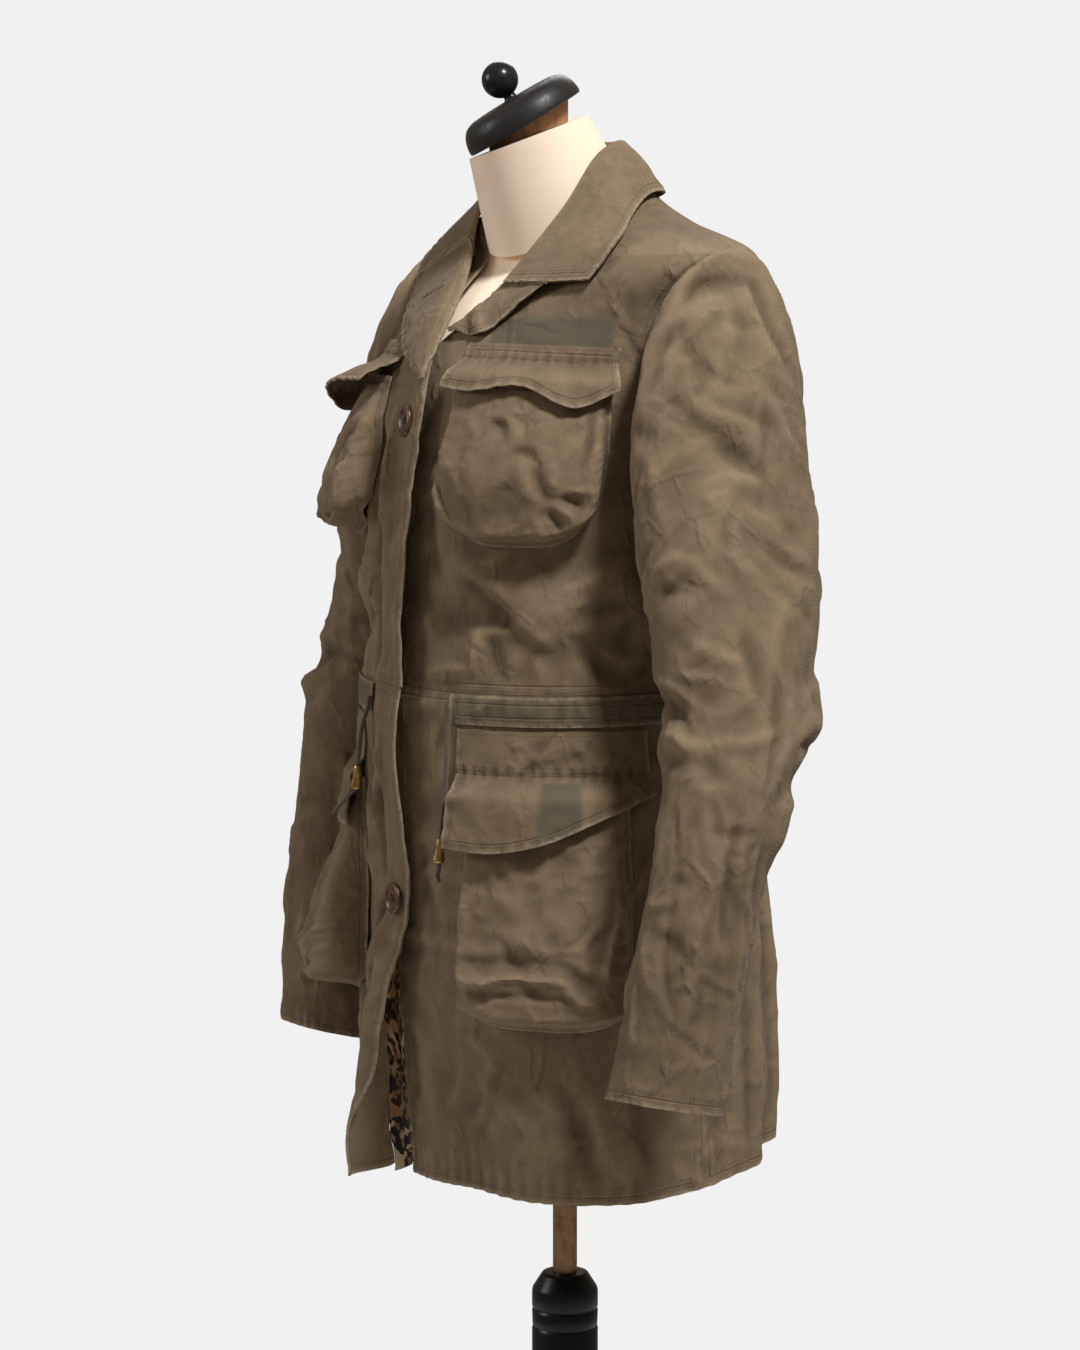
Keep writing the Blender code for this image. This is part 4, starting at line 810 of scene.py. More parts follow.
# Faded twill: cloudy fading, less faded patches, paler ridges and darker crease hollows (wear on the
# ridges, painted shade in the hollows), worn free edges, a groove beside each seam that is also
# darkened in colour as painted shade, and the weave
def makeTwill(name, look):
    bench = NodeBench(name)
    place, flat = bench.objectPlace(), bench.clothPlace()
    broad = bench.mapped(bench.noise(place, 9.0, 5.0, 0.62, 0.3), 0.30, 0.70, 0.22, 0.88)
    colour = bench.mix(broad, look["deep"], look["faded"])
    patchy = bench.mapped(bench.noise(place, 60.0, 4.0, 0.65), 0.34, 0.66, 0.93, 1.07)
    threads = bench.noise(bench.scaled(flat, (700.0, 60.0, 1.0)), 1.0, 2.0, 0.6)
    streak = bench.mapped(threads, 0.30, 0.70, 0.95, 1.05)
    colour = bench.mix(1.0, colour, asGrey(bench, bench.math("MULTIPLY", patchy, streak)), "MULTIPLY")
    colour = bench.mix(bench.math("MULTIPLY", bench.value("fresh"), 0.9, True), colour, look["new"])
    # Ridges lighten the colour as worn cloth; the hollows of creases darken it, which is painted shade
    shade = bench.mapped(bench.value("ridge"), -1.0, 1.0, 0.74, 1.22, False)
    colour = bench.mix(1.0, colour, asGrey(bench, shade), "MULTIPLY")
    breakUp = bench.mapped(bench.noise(place, 210.0, 3.0, 0.6), 0.34, 0.60, 0.25, 1.0)
    wear = bench.math("MULTIPLY", bench.mapped(bench.value("rim"), 0.0006, 0.0042, 1.0, 0.0), breakUp)
    colour = bench.mix(bench.math("MULTIPLY", wear, look["wornShare"], True), colour, look["worn"])
    # The groove beside each seam is darkened in colour towards the deep tone: painted shade in the groove
    line = bench.math("ABSOLUTE", bench.math("SUBTRACT", bench.value("edge"), look["grooveAway"]))
    groove = bench.mapped(line, 0.0, look["grooveWidth"], 1.0, 0.0)
    colour = bench.mix(bench.math("MULTIPLY", groove, 0.35), colour, look["deep"])
    weave = bench.add("ShaderNodeTexWave", wave_type="BANDS", bands_direction="X", wave_profile="SIN")
    bench.into(weave, "Vector", bench.scaled(flat, (1.0, 1.0, 1.0), look["weaveTurn"]))
    bench.into(weave, "Scale", 0.314 / look["weavePitch"])
    bench.into(weave, "Distortion", 1.2)
    bench.into(weave, "Detail", 1.0)
    bench.into(weave, "Detail Scale", 1.5)
    slub = bench.noise(bench.scaled(flat, (900.0, 260.0, 1.0)), 1.0, 2.0, 0.6)
    reliefs = [
        (weave.outputs["Fac"], look["weaveDepth"]),
        (slub, look["weaveDepth"] * 1.5),
        (bench.noise(place, 85.0, 3.0, 0.55, 0.6), look["wrinkleDepth"]),
        (crumples(bench, place, 24.0), look["crumple"]),
        (crumples(bench, place, 46.0), look["crumple"] * 0.5),
        (groove, -look["grooveDepth"]),
    ]
    bench.bumpAll(reliefs)
    return bench.settle(Base_Color=colour, Roughness=look["roughness"], Sheen_Weight=look["sheen"],
                        Sheen_Roughness=0.5, Specular_IOR_Level=look["specular"])


# Sharp little ridges between the cells of a wandering net, in patches
def crumples(bench, place, scale):
    wander = bench.wandered(place, scale * 1.6, (0.35 / scale, 0.35 / scale, 0.35 / scale))
    cells = bench.add("ShaderNodeTexVoronoi", feature="DISTANCE_TO_EDGE")
    bench.into(cells, "Vector", bench.scaled(wander, (1.0, 1.0, 0.6)))
    bench.into(cells, "Scale", scale)
    patch = bench.mapped(bench.noise(place, scale * 0.8, 1.0), 0.47, 0.60, 0.0, 1.0)
    return bench.math("MULTIPLY", bench.mapped(cells.outputs["Distance"], 0.0, 0.12, 1.0, 0.0), patch)


def asGrey(bench, value):
    node = bench.add("ShaderNodeCombineColor")
    for channel in ("Red", "Green", "Blue"):
        bench.link(value, node.inputs[channel])
    return node.outputs["Color"]


lining = {
    "ground": (0.25, 0.135, 0.058), "pale": (0.48, 0.36, 0.24), "heart": (0.17, 0.080, 0.032),
    "black": (0.010, 0.008, 0.007), "spots": 60.0, "roughness": 0.45, "specular": 0.2,
}


# An animal-spot print: broken black rings with a darker heart, from the distance to scattered points
def makeLiningLook(name):
    bench = NodeBench(name)
    flat = bench.clothPlace()
    cells = bench.add("ShaderNodeTexVoronoi", feature="F1", voronoi_dimensions="2D")
    bench.into(cells, "Vector", bench.wandered(flat, 95.0, (0.009, 0.009, 0.0)))
    bench.into(cells, "Scale", lining["spots"])
    bench.into(cells, "Randomness", 0.75)
    away = cells.outputs["Distance"]
    inner = bench.mapped(away, 0.15, 0.18, 0.0, 1.0)
    outer = bench.mapped(away, 0.49, 0.53, 1.0, 0.0)
    gaps = bench.mapped(bench.noise(flat, 120.0, 1.0), 0.37, 0.41, 0.0, 1.0)
    ring = bench.math("MULTIPLY", bench.math("MULTIPLY", inner, outer), gaps)
    tone = bench.mapped(bench.noise(flat, 26.0, 2.0), 0.40, 0.60, 0.0, 1.0)
    colour = bench.mix(tone, lining["ground"], lining["pale"])
    colour = bench.mix(bench.mapped(away, 0.20, 0.30, 0.85, 0.0), colour, lining["heart"])
    colour = bench.mix(ring, colour, lining["black"])
    bench.bumpAll([(bench.noise(bench.scaled(flat, (1800.0, 1800.0, 1.0)), 1.0, 1.0), 0.00002)])
    return bench.settle(Base_Color=colour, Roughness=lining["roughness"],
                        Specular_IOR_Level=lining["specular"])


formCover = {
    "cream": (0.97, 0.80, 0.64), "shade": (0.92, 0.74, 0.575),
    "roughness": 0.80, "sheen": 0.15, "specular": 0.25,
}


def makeFormLook(name):
    bench = NodeBench(name)
    place = bench.objectPlace()
    tone = bench.mapped(bench.noise(place, 9.0, 3.0), 0.35, 0.65, 0.0, 1.0)
    colour = bench.mix(tone, formCover["shade"], formCover["cream"])
    weave = bench.noise(place, 1500.0, 1.0, 0.5)
    pull = bench.noise(bench.scaled(place, (60.0, 60.0, 14.0)), 1.0, 2.0)
    bench.bumpAll([(weave, 0.00004), (pull, 0.0002)])
    return bench.settle(Base_Color=colour, Roughness=formCover["roughness"], Sheen_Weight=formCover["sheen"],
                        Specular_IOR_Level=formCover["specular"])


def makeBlackLook(name, base, rough, grainScale, grainDepth, stretch=(1.0, 1.0, 1.0)):
    bench = NodeBench(name)
    place = bench.scaled(bench.objectPlace(), stretch)
    grain = bench.noise(place, grainScale, 3.0, 0.6)
    colour = bench.mix(bench.mapped(grain, 0.3, 0.7, 0.0, 1.0), base, tuple(value * 1.9 for value in base))
    roughness = bench.mapped(bench.noise(place, grainScale * 0.3, 2.0), 0.3, 0.7, rough - 0.06, rough + 0.08)
    bench.bumpAll([(grain, grainDepth)])
    return bench.settle(Base_Color=colour, Roughness=roughness, Specular_IOR_Level=0.25)


def makeMetalLook(name, bright, dull, rough, lines, depth, stretch):
    bench = NodeBench(name)
    place = bench.scaled(bench.objectPlace(), stretch)
    brushed = bench.noise(place, lines, 3.0, 0.6)
    stain = bench.mapped(bench.noise(bench.objectPlace(), 120.0, 3.0), 0.40, 0.68, 0.0, 1.0)
    colour = bench.mix(stain, bright, dull)
    roughness = bench.mapped(brushed, 0.3, 0.7, rough - 0.05, rough + 0.10)
    bench.bumpAll([(brushed, depth)])
    return bench.settle(Base_Color=colour, Roughness=roughness, Metallic=1.0)


def makeHornLook(name):
    bench = NodeBench(name)
    place = bench.objectPlace()
    swirl = bench.noise(bench.scaled(place, (1.0, 1.0, 2.5)), 130.0, 4.0, 0.6, 1.5)
    light = bench.mapped(swirl, 0.38, 0.62, 0.0, 1.0)
    colour = bench.mix(light, (0.030, 0.013, 0.008), (0.150, 0.066, 0.032))
    bench.bumpAll([(swirl, 0.00004)])
    return bench.settle(Base_Color=colour, Roughness=0.34)


def makeThreadLook(name, colour):
    bench = NodeBench(name)
    place = bench.objectPlace()
    tone = bench.mapped(bench.noise(place, 400.0, 2.0), 0.3, 0.7, 0.75, 1.2)
    shaded = bench.mix(1.0, colour, asGrey(bench, tone), "MULTIPLY")
    return bench.settle(Base_Color=shaded, Roughness=0.75, Sheen_Weight=0.2)


def makeCordLook(name):
    bench = NodeBench(name)
    place = bench.objectPlace()
    braid = bench.add("ShaderNodeTexWave", wave_type="BANDS", bands_direction="DIAGONAL")
    bench.into(braid, "Vector", place)
    bench.into(braid, "Scale", 190.0)
    bench.into(braid, "Distortion", 1.0)
    # The colour follows the braid's bump, darker in its hollows: painted shade between the strands
    colour = bench.mix(braid.outputs["Fac"], (0.060, 0.048, 0.032), (0.125, 0.100, 0.068))
    bench.bumpAll([(braid.outputs["Fac"], 0.00018)])
    return bench.settle(Base_Color=colour, Roughness=0.85, Sheen_Weight=0.2)


def makeWoodLook(name):
    bench = NodeBench(name)
    place = bench.scaled(bench.objectPlace(), (30.0, 30.0, 6.0))
    grain = bench.noise(place, 3.0, 5.0, 0.6, 1.0)
    colour = bench.mix(bench.mapped(grain, 0.3, 0.7, 0.0, 1.0), (0.24, 0.11, 0.045), (0.42, 0.22, 0.10))
    bench.bumpAll([(grain, 0.0001)])
    return bench.settle(Base_Color=colour, Roughness=0.55)


metals = {
    "bronzeTube": {"bright": (0.36, 0.24, 0.14), "dull": (0.24, 0.15, 0.08), "rough": 0.30, "lines": 900.0,
                   "depth": 0.00001, "stretch": (1.0, 1.0, 0.02)},
    "agedBrass": {"bright": (0.55, 0.38, 0.14), "dull": (0.20, 0.13, 0.05), "rough": 0.36, "lines": 700.0,
                  "depth": 0.00003, "stretch": (1.0, 1.0, 1.0)},
}
oliveTwill = makeTwill("oliveTwill", twill)
spottedLining = makeLiningLook("spottedLining")
creamCover = makeFormLook("creamCover")
blackSatin = makeBlackLook("blackSatin", (0.013, 0.012, 0.012), 0.42, 900.0, 0.00003)
blackLacquer = makeBlackLook("blackLacquer", (0.010, 0.010, 0.010), 0.28, 60.0, 0.00003)
blackTurned = makeBlackLook("blackTurned", (0.0020, 0.0018, 0.0018), 0.34, 90.0, 0.00004, (1.0, 1.0, 0.15))
bronzeTube = makeMetalLook("bronzeTube", **metals["bronzeTube"])
agedBrass = makeMetalLook("agedBrass", **metals["agedBrass"])
hornBrown = makeHornLook("hornBrown")
seamThread = makeThreadLook("seamThread", (0.235, 0.180, 0.115))
buttonThread = makeThreadLook("buttonThread", (0.060, 0.048, 0.034))
braidedCord = makeCordLook("braidedCord")
bareWood = makeWoodLook("bareWood")
print("materials made")

# Sleeves

sleeveCreases = reliefTable(creaseNames, [
    # round the head
    (52, 0.03, -14, 0.052, 6, 9, -3), (60, 0.052, 18, 0.078, -4, 7, 1.8),
    (-16, 0.05, -36, 0.104, 3, 7, -3), (-6, 0.06, -22, 0.112, 3, 7, 2), (20, 0.05, 6, 0.096, -3, 7, 1.4),
    (26, 0.076, -12, 0.088, -4, 6.5, -1.4),
    # upper arm
    (50, 0.11, 20, 0.16, 4, 8, -1.6), (30, 0.15, -4, 0.188, 3, 7, -2), (36, 0.128, 4, 0.156, 3, 7, 1.6),
    (-10, 0.13, -44, 0.17, 4, 8, 1.8), (70, 0.15, 60, 0.22, 3, 7, 1.4), (84, 0.24, 50, 0.24, -6, 6.5, 2),
    (50, 0.238, 30, 0.272, 3, 6, 1.8), (80, 0.258, 44, 0.262, -5, 7, -1.8),
    (12, 0.21, -20, 0.232, 3, 7, 1.4), (0, 0.24, -40, 0.262, 4, 7.5, -1.8),
    # elbow
    (-6, 0.282, 4, 0.34, 4, 7, 2), (4, 0.34, -8, 0.412, -4, 7.5, -2.6), (22, 0.3, 10, 0.356, 3, 7, -1.8),
    (60, 0.3, 24, 0.326, 3, 7.5, 1.8), (110, 0.318, 64, 0.352, -4, 7.5, 2.4),
    (118, 0.336, 70, 0.372, -4, 6.5, -2.6), (100, 0.366, 56, 0.396, -3, 7, 2),
    (66, 0.388, 30, 0.41, 2, 7, -1.6), (300, 0.33, 336, 0.352, 3, 7, 2.2),
    (285, 0.372, 330, 0.38, 3, 7, -2.6), (280, 0.412, 326, 0.42, 3, 7, 2),
    # forearm
    (50, 0.42, 20, 0.48, 4, 8, 1.6), (14, 0.43, 4, 0.52, 4, 7.5, -1.8), (80, 0.43, 62, 0.52, -4, 8, -1.4),
    (-14, 0.45, -24, 0.56, 3, 8, 2), (40, 0.5, 30, 0.59, -3, 8, 1.2), (96, 0.52, 70, 0.56, 3, 7, 1.4),
    (300, 0.46, 310, 0.58, 3, 7.5, -2),
    # inner and back sides
    (130, 0.06, 150, 0.15, 3, 7.5, 1.8), (160, 0.08, 185, 0.17, -3, 7.5, -2),
    (200, 0.06, 230, 0.16, 4, 8, 2), (240, 0.11, 265, 0.21, 3, 7.5, -2),
    (262, 0.18, 290, 0.27, -3, 7.5, 2), (150, 0.24, 190, 0.262, 4, 7.5, -2),
    (210, 0.26, 240, 0.3, 3, 7.5, 2), (140, 0.3, 175, 0.33, 3, 7, 2), (200, 0.35, 240, 0.372, -3, 7, -2),
    (150, 0.42, 170, 0.52, 3, 8, 1.8), (220, 0.43, 230, 0.54, -3, 8, -1.8),
])
# Puckers are size, pitch and reach
sleeve = {
    "reach": 0.640, "rows": 0.0032, "columns": 132, "perRound": 0.0011, "foldPerRound": 0.0010,
    "rumple": 0.0020, "rumpleCell": 0.052, "wrinkle": 0.0007, "wrinkleCell": 0.018, "depth": 2.0,
    "headPucker": (0.0012, 0.012, 0.018), "cuffPucker": (0.0006, 0.013, 0.014), "rightTurn": 14.0,
}
sleeveScatter = {
    "count": 110, "seed": 17, "across": (0, 360), "along": (0.030, 0.610), "acrossScale": sleeve["perRound"],
    "long": (0.025, 0.080), "wide": (0.0034, 0.0075), "high": 0.0026, "lean": -0.6,
}
sleeveCrinkles = crinkles(**sleeveScatter)


def armholePlace(side, around):
    shrink = 1 - jacket["seamGap"] / armholeHalf
    turn = np.radians(around)
    depth = np.where(np.sin(turn) > 0, jacket["armholeFront"], jacket["armholeBack"])
    return side * (90 - depth * np.sin(turn) * shrink), armholeMiddle + armholeHalf * np.cos(turn) * shrink


def smoothSleeve(side, around, reach):
    column = {name: smooth(sleeveRings, "reach", name, reach) for name in sleeveRings}
    turn = np.radians(around)
    x = (column["outerX"] + column["innerX"]) / 2
    z = (column["outerZ"] + column["innerZ"]) / 2
    y = column["centreY"] + forwardSwing[side] * ramp(reach, 0.0, 0.120)
    y = y + forearmSwing[side] * ramp(reach, 0.340, 0.470)
    z = z + cuffRise[side] * ramp(reach, 0.150, sleeve["reach"] + 0.150) * 1.15
    halfX = (column["outerX"] - column["innerX"]) / 2 * np.cos(turn)
    halfZ = (column["outerZ"] - column["innerZ"]) / 2 * np.cos(turn)
    halfY = column["half"] * np.sin(turn)
    lean = cuffLean * ramp(reach, 0.260, 0.440)
    point = np.stack([side * (x + halfX), y - halfY, z + halfZ + halfY * lean], axis=-1)
    blend = column["blend"][..., None]
    return point * blend + raised(*armholePlace(side, around), np.zeros(around.shape)) * (1 - blend)


def sleeveGrid(side):
    around = np.arange(sleeve["columns"]) * 360 / sleeve["columns"]
    reach = gridShares(sleeve["reach"], sleeve["rows"]) * sleeve["reach"]
    u, v = np.meshgrid(around, reach)
    base = smoothSleeve(side, u, v)
    shifted = u + (0 if side == 1 else sleeve["rightTurn"])     # so the two sleeves don't mirror each other
    height = foldHeight(sleeveFolds, shifted, v, sleeve["foldPerRound"])
    height = height + sleeve["depth"] * creaseHeight(sleeveCreases, shifted, v, sleeve["perRound"])
    height = height + creaseHeight(sleeveCrinkles, shifted, v, sleeve["perRound"])
    run, wrap = u * sleeve["perRound"], 360 * sleeve["perRound"]
    height = height + sleeve["rumple"] * rumple(run, v + side * 0.31, sleeve["rumpleCell"], 31, wrap)
    height = height + sleeve["wrinkle"] * rumple(run, v + side * 0.31, sleeve["wrinkleCell"], 35, wrap)
    height = height * ramp(v, 0.004, 0.030)
    upperHalf = 0.55 + 0.45 * np.cos(np.radians(u))
    height = height + pucker(run, v, *sleeve["headPucker"], 33) * upperHalf * ramp(v, 0.0, 0.004)
    height = height + pucker(run, sleeve["reach"] - v, *sleeve["cuffPucker"], 34)
    normal = gridNormal(base, True)
    centre = base.mean(axis=1, keepdims=True)
    if np.sum(normal * (base - centre)) < 0:
        normal = -normal
    return base + normal * height[..., None], centre


def makeSleeve(side, name, node):
    grid, centre = sleeveGrid(side)
    piece = clothWall(name, grid, cloth, grid - centre, around=True, seams="ends", rim="b")
    finishCloth(piece, node, oliveTwill)


# Panels of the body

panel = {"step": 0.0034, "armholeRows": 52, "neckRows": 24}


def bodiceLevels():
    low = jacket["waistLevel"] + jacket["seamGap"] / 2
    span = jacket["underarmLevel"] - low
    lower = low + span * gridShares(span, panel["step"], last=False)[:-1]
    arm = armholeMiddle - armholeHalf * np.cos(np.linspace(0, np.pi, panel["armholeRows"] + 1))
    upper = np.linspace(jacket["shoulderLevel"], jacket["neckLevel"], panel["neckRows"] + 1)[1:]
    return np.concatenate([lower, arm, upper])


def skirtLevels():
    top = jacket["waistLevel"] - jacket["seamGap"] / 2
    span = top - jacket["hemLevel"]
    return top - span * gridShares(span, panel["step"])


def panelGrid(levels, first, last, lift, extra=None):
    middle = len(levels) // 3
    width = abs(last[middle] - first[middle]) * jacket["perDegree"]
    share = gridShares(width, panel["step"])
    angle = first[:, None] * (1 - share) + last[:, None] * share
    level = np.repeat(levels[:, None], len(share), axis=1)
    fromFront = abs(angle - 360 * (angle > 180))
    level = level + jacket["hemRise"] * ramp(fromFront, 70, 122) * ramp(level, 0.800, jacket["hemLevel"])
    outer = raised(angle, level, lift(angle, level))
    if extra is not None:
        outer = outer + extra(angle, level)
    return outer, angle, level


def noLift(angle, level):
    return np.zeros(angle.shape)


def outwardOf(grid):
    return grid * (1, 1, 0)


# Where a tape was, over the left chest pocket, by angle and level
tapeMark = {"from": 23.0, "to": 62.0, "low": 1.2570, "high": 1.2835}


# Cloth that was covered and so is less faded, from 0 to 1
def freshFront(side, angle, level):
    if side == -1:
        return np.zeros(angle.shape)
    start, end = tapeMark["from"], tapeMark["to"]
    low, high = tapeMark["low"], tapeMark["high"]
    across = ramp(angle, start, start + 0.8) * (1 - ramp(angle, end, end + 0.8))
    return across * ramp(level, low, low + 0.0012) * (1 - ramp(level, high, high + 0.0012))


def makeFront(side, name, node):
    levels = bodiceLevels()
    edge = smooth(frontEdge[side], "level", "angle", levels)
    seam = 90 - seamTurn(levels) - jacket["armholeFront"] * armholeShare(levels)
    grid, angle, level = panelGrid(levels, side * edge, side * seam, frontLift(side))
    piece = clothWall(name, grid, cloth, outwardOf(grid), fresh=freshFront(side, angle, level), rim="s")
    finishCloth(piece, node, oliveTwill)


def makeSkirtFront(side, name, node):
    levels = skirtLevels()
    edge = np.full(levels.shape, skirtEdge[side])
    seam = 90 - seamTurn(levels)
    swing = swingOpen if side == -1 else None
    grid, angle, level = panelGrid(levels, side * edge, side * seam, frontLift(side), swing)
    piece = clothWall(name, grid, cloth, outwardOf(grid), rim="sb")
    finishCloth(piece, node, oliveTwill)


def makeBack(name, node):
    levels = bodiceLevels()
    seam = 90 + seamTurn(levels) + jacket["armholeBack"] * armholeShare(levels)
    grid, angle, level = panelGrid(levels, seam, 360 - seam, noLift)
    piece = clothWall(name, grid, cloth, outwardOf(grid), rim="")
    finishCloth(piece, node, oliveTwill)


def makeSkirtBack(name, node):
    levels = skirtLevels()
    seam = 90 + seamTurn(levels)
    grid, angle, level = panelGrid(levels, seam, 360 - seam, noLift)
    piece = clothWall(name, grid, cloth, outwardOf(grid), rim="b")
    finishCloth(piece, node, oliveTwill)


# Collar and lapels

collar = {"foldRadius": 0.0036, "thickness": 0.0020, "alongStep": 0.0030, "along": 0.46}
lapel = {"stand": 0.0048, "cover": 1.0}


def collarSurface(u, v):
    station = u * 10
    column = {name: smooth(collarRows, "station", name, station) for name in collarRows}
    seam = raised(column["seamAngle"], column["seamLevel"], np.full(station.shape, cloth))
    full = ramp(station, 1.0, 5.0)
    edge = raised(column["edgeAngle"], column["edgeLevel"], 0.0046 + 0.0020 * full)
    fold = np.stack([column["foldX"], column["foldY"], column["foldZ"]], axis=-1)
    out = edge - seam
    rise = unit(fold - (seam + edge) / 2)
    out = unit(out - rise * np.sum(out * rise, axis=-1, keepdims=True))
    radius = collar["foldRadius"]
    inward = fold - out * radius - rise * radius
    outward = fold + out * radius - rise * radius
    share = v[..., None]
    stand = seam + (inward - seam) * np.clip(share / 0.30, 0, 1)
    turn = np.pi * np.clip((share - 0.30) / 0.16, 0, 1)
    top = fold - rise * radius - out * radius * np.cos(turn) + rise * radius * np.sin(turn)
    down = np.clip((share - 0.46) / 0.54, 0, 1)
    leaf = outward + (edge - outward) * down
    bulge = (0.0025 + 0.0040 * full[..., None]) * np.sin(np.pi * down)
    leaf = leaf + (out * 0.35 + rise * 0.65) * bulge
    return np.where(share < 0.30, stand, np.where(share < 0.46, top, leaf))


def makeCollar(name):
    across = gridShares(collar["along"], collar["alongStep"])
    standRows = np.linspace(0, 0.30, 8)[:-1]
    foldRows = np.linspace(0.30, 0.46, 8)[:-1]
    leafRows = np.linspace(0.46, 0.94, 17)[:-1]
    down = np.concatenate([standRows, foldRows, leafRows, np.linspace(0.94, 1.0, 5)])
    u, v = np.meshgrid(across, down)
    grid = collarSurface(u, v)
    normal = gridNormal(grid)
    middle = normal[len(down) // 3 + 2, len(across) // 2]
    if middle[2] < 0:
        normal = -normal
    run = u * collar["along"]
    height = 0.0009 * rumple(run, v * 0.14, 0.030, 41) * ramp(v, 0.46, 0.62)
    height = height + pucker(run, (1 - v) * 0.075, 0.0006, 0.009, 0.010, 42)
    ends = np.minimum(u, 1 - u) * collar["along"]
    height = height + pucker(v * 0.14, ends, 0.0005, 0.009, 0.010, 43) * ramp(v, 0.46, 0.55)
    grid = grid + normal * (height * ramp(v, 0.40, 0.56))[..., None]
    piece = clothWall(name, grid, collar["thickness"], normal)
    finishCloth(piece, "collar", oliveTwill)


# Normals of a grid, turned away from the body
def outwardNormal(grid):
    normal = gridNormal(grid)
    return -normal if np.sum(normal * outwardOf(grid)) < 0 else normal


# The lapel rolls over the front's own edge, and its top meets the collar's end along the gorge
def lapelSurface(side, u, v):
    rows = lapelRows[side]
    column = {key: smooth(rows, "station", key, v) for key in rows}
    roll = column["rollAngle"]
    if side == -1:
        roll = np.minimum(roll, smooth(frontEdge[-1], "level", "angle", column["rollLevel"]) - lapel["cover"])
    angle = side * (roll * (1 - u) + column["edgeAngle"] * u)
    level = column["rollLevel"] * (1 - u) + column["edgeLevel"] * u
    rise = lapel["stand"] - 0.0026 * (side == 1) * (1 - ramp(u, 0.0, 0.35))
    if side == 1:
        angle = angle + 5.0 * u * ramp(v, 0.05, 0.5)
        level = level - 0.007 * u * ramp(v, 0.05, 0.5)
        rise = rise + 0.0030 * np.sin(v * 17.0) * u * ramp(v, 0.1, 0.3) * (1 - v)
    if side == -1:
        rise = rise - 0.0058 * (1 - ramp(u, 0.0, 0.09)) * ramp(v, 0.04, 0.20)
    rise = rise + 0.0030 * np.sin(np.pi * np.clip(u, 0, 1)) * np.clip(v * 2, 0.3, 1)
    point = raised(angle, level, frontLift(side)(angle, level) + rise)
    share = 0.42 + u * 0.58 if side == -1 else 0.46 + u * 0.32
    gorge = collarSurface(np.full(u.shape, 0.0 if side == -1 else 1.0), share)
    join = (0.96 * ramp(v, 0.55, 1.0))[..., None]
    return point * (1 - join) + gorge * join


lapelCut = {
    -1: {"across": 0.075, "down": 0.150, "rumple": 0.0006},
    1: {"across": 0.022, "down": 0.070, "rumple": 0.0015},
}
lapelRim = (0.0012, 0.0028, 0.0045)


def makeLapel(side, name, node):
    cut = lapelCut[side]
    across = gridShares(cut["across"], 0.0024, close=lapelRim)
    down = gridShares(cut["down"], 0.0026, close=lapelRim)
    u, v = np.meshgrid(across, down)
    grid = lapelSurface(side, u, v)
    normal = outwardNormal(grid)
    run = v * 0.15
    height = pucker(run, (1 - u) * 0.05, 0.0009, 0.010, 0.008, 51 + side)
    height = height + cut["rumple"] * rumple(u * 0.08, run, 0.022, 53)
    grid = grid + normal * height[..., None]
    piece = clothWall(name, grid, cloth, normal)
    finishCloth(piece, node, oliveTwill)


# Pockets

# Puckers are size, pitch and reach
pocket = {
    "attached": cloth + jacket["patchGap"], "gusset": 0.012, "step": 0.0022, "bodyRadius": 0.155,
    "creases": {1: 1.0, -1: 1.7}, "rumple": 0.0014, "rumpleCell": 0.030,
    "rumpleSeed": {"chest": 61, "hip": 62},
    "wrinkle": 0.0005, "wrinkleCell": 0.012, "edgePucker": (0.0005, 0.009, 0.006),
}

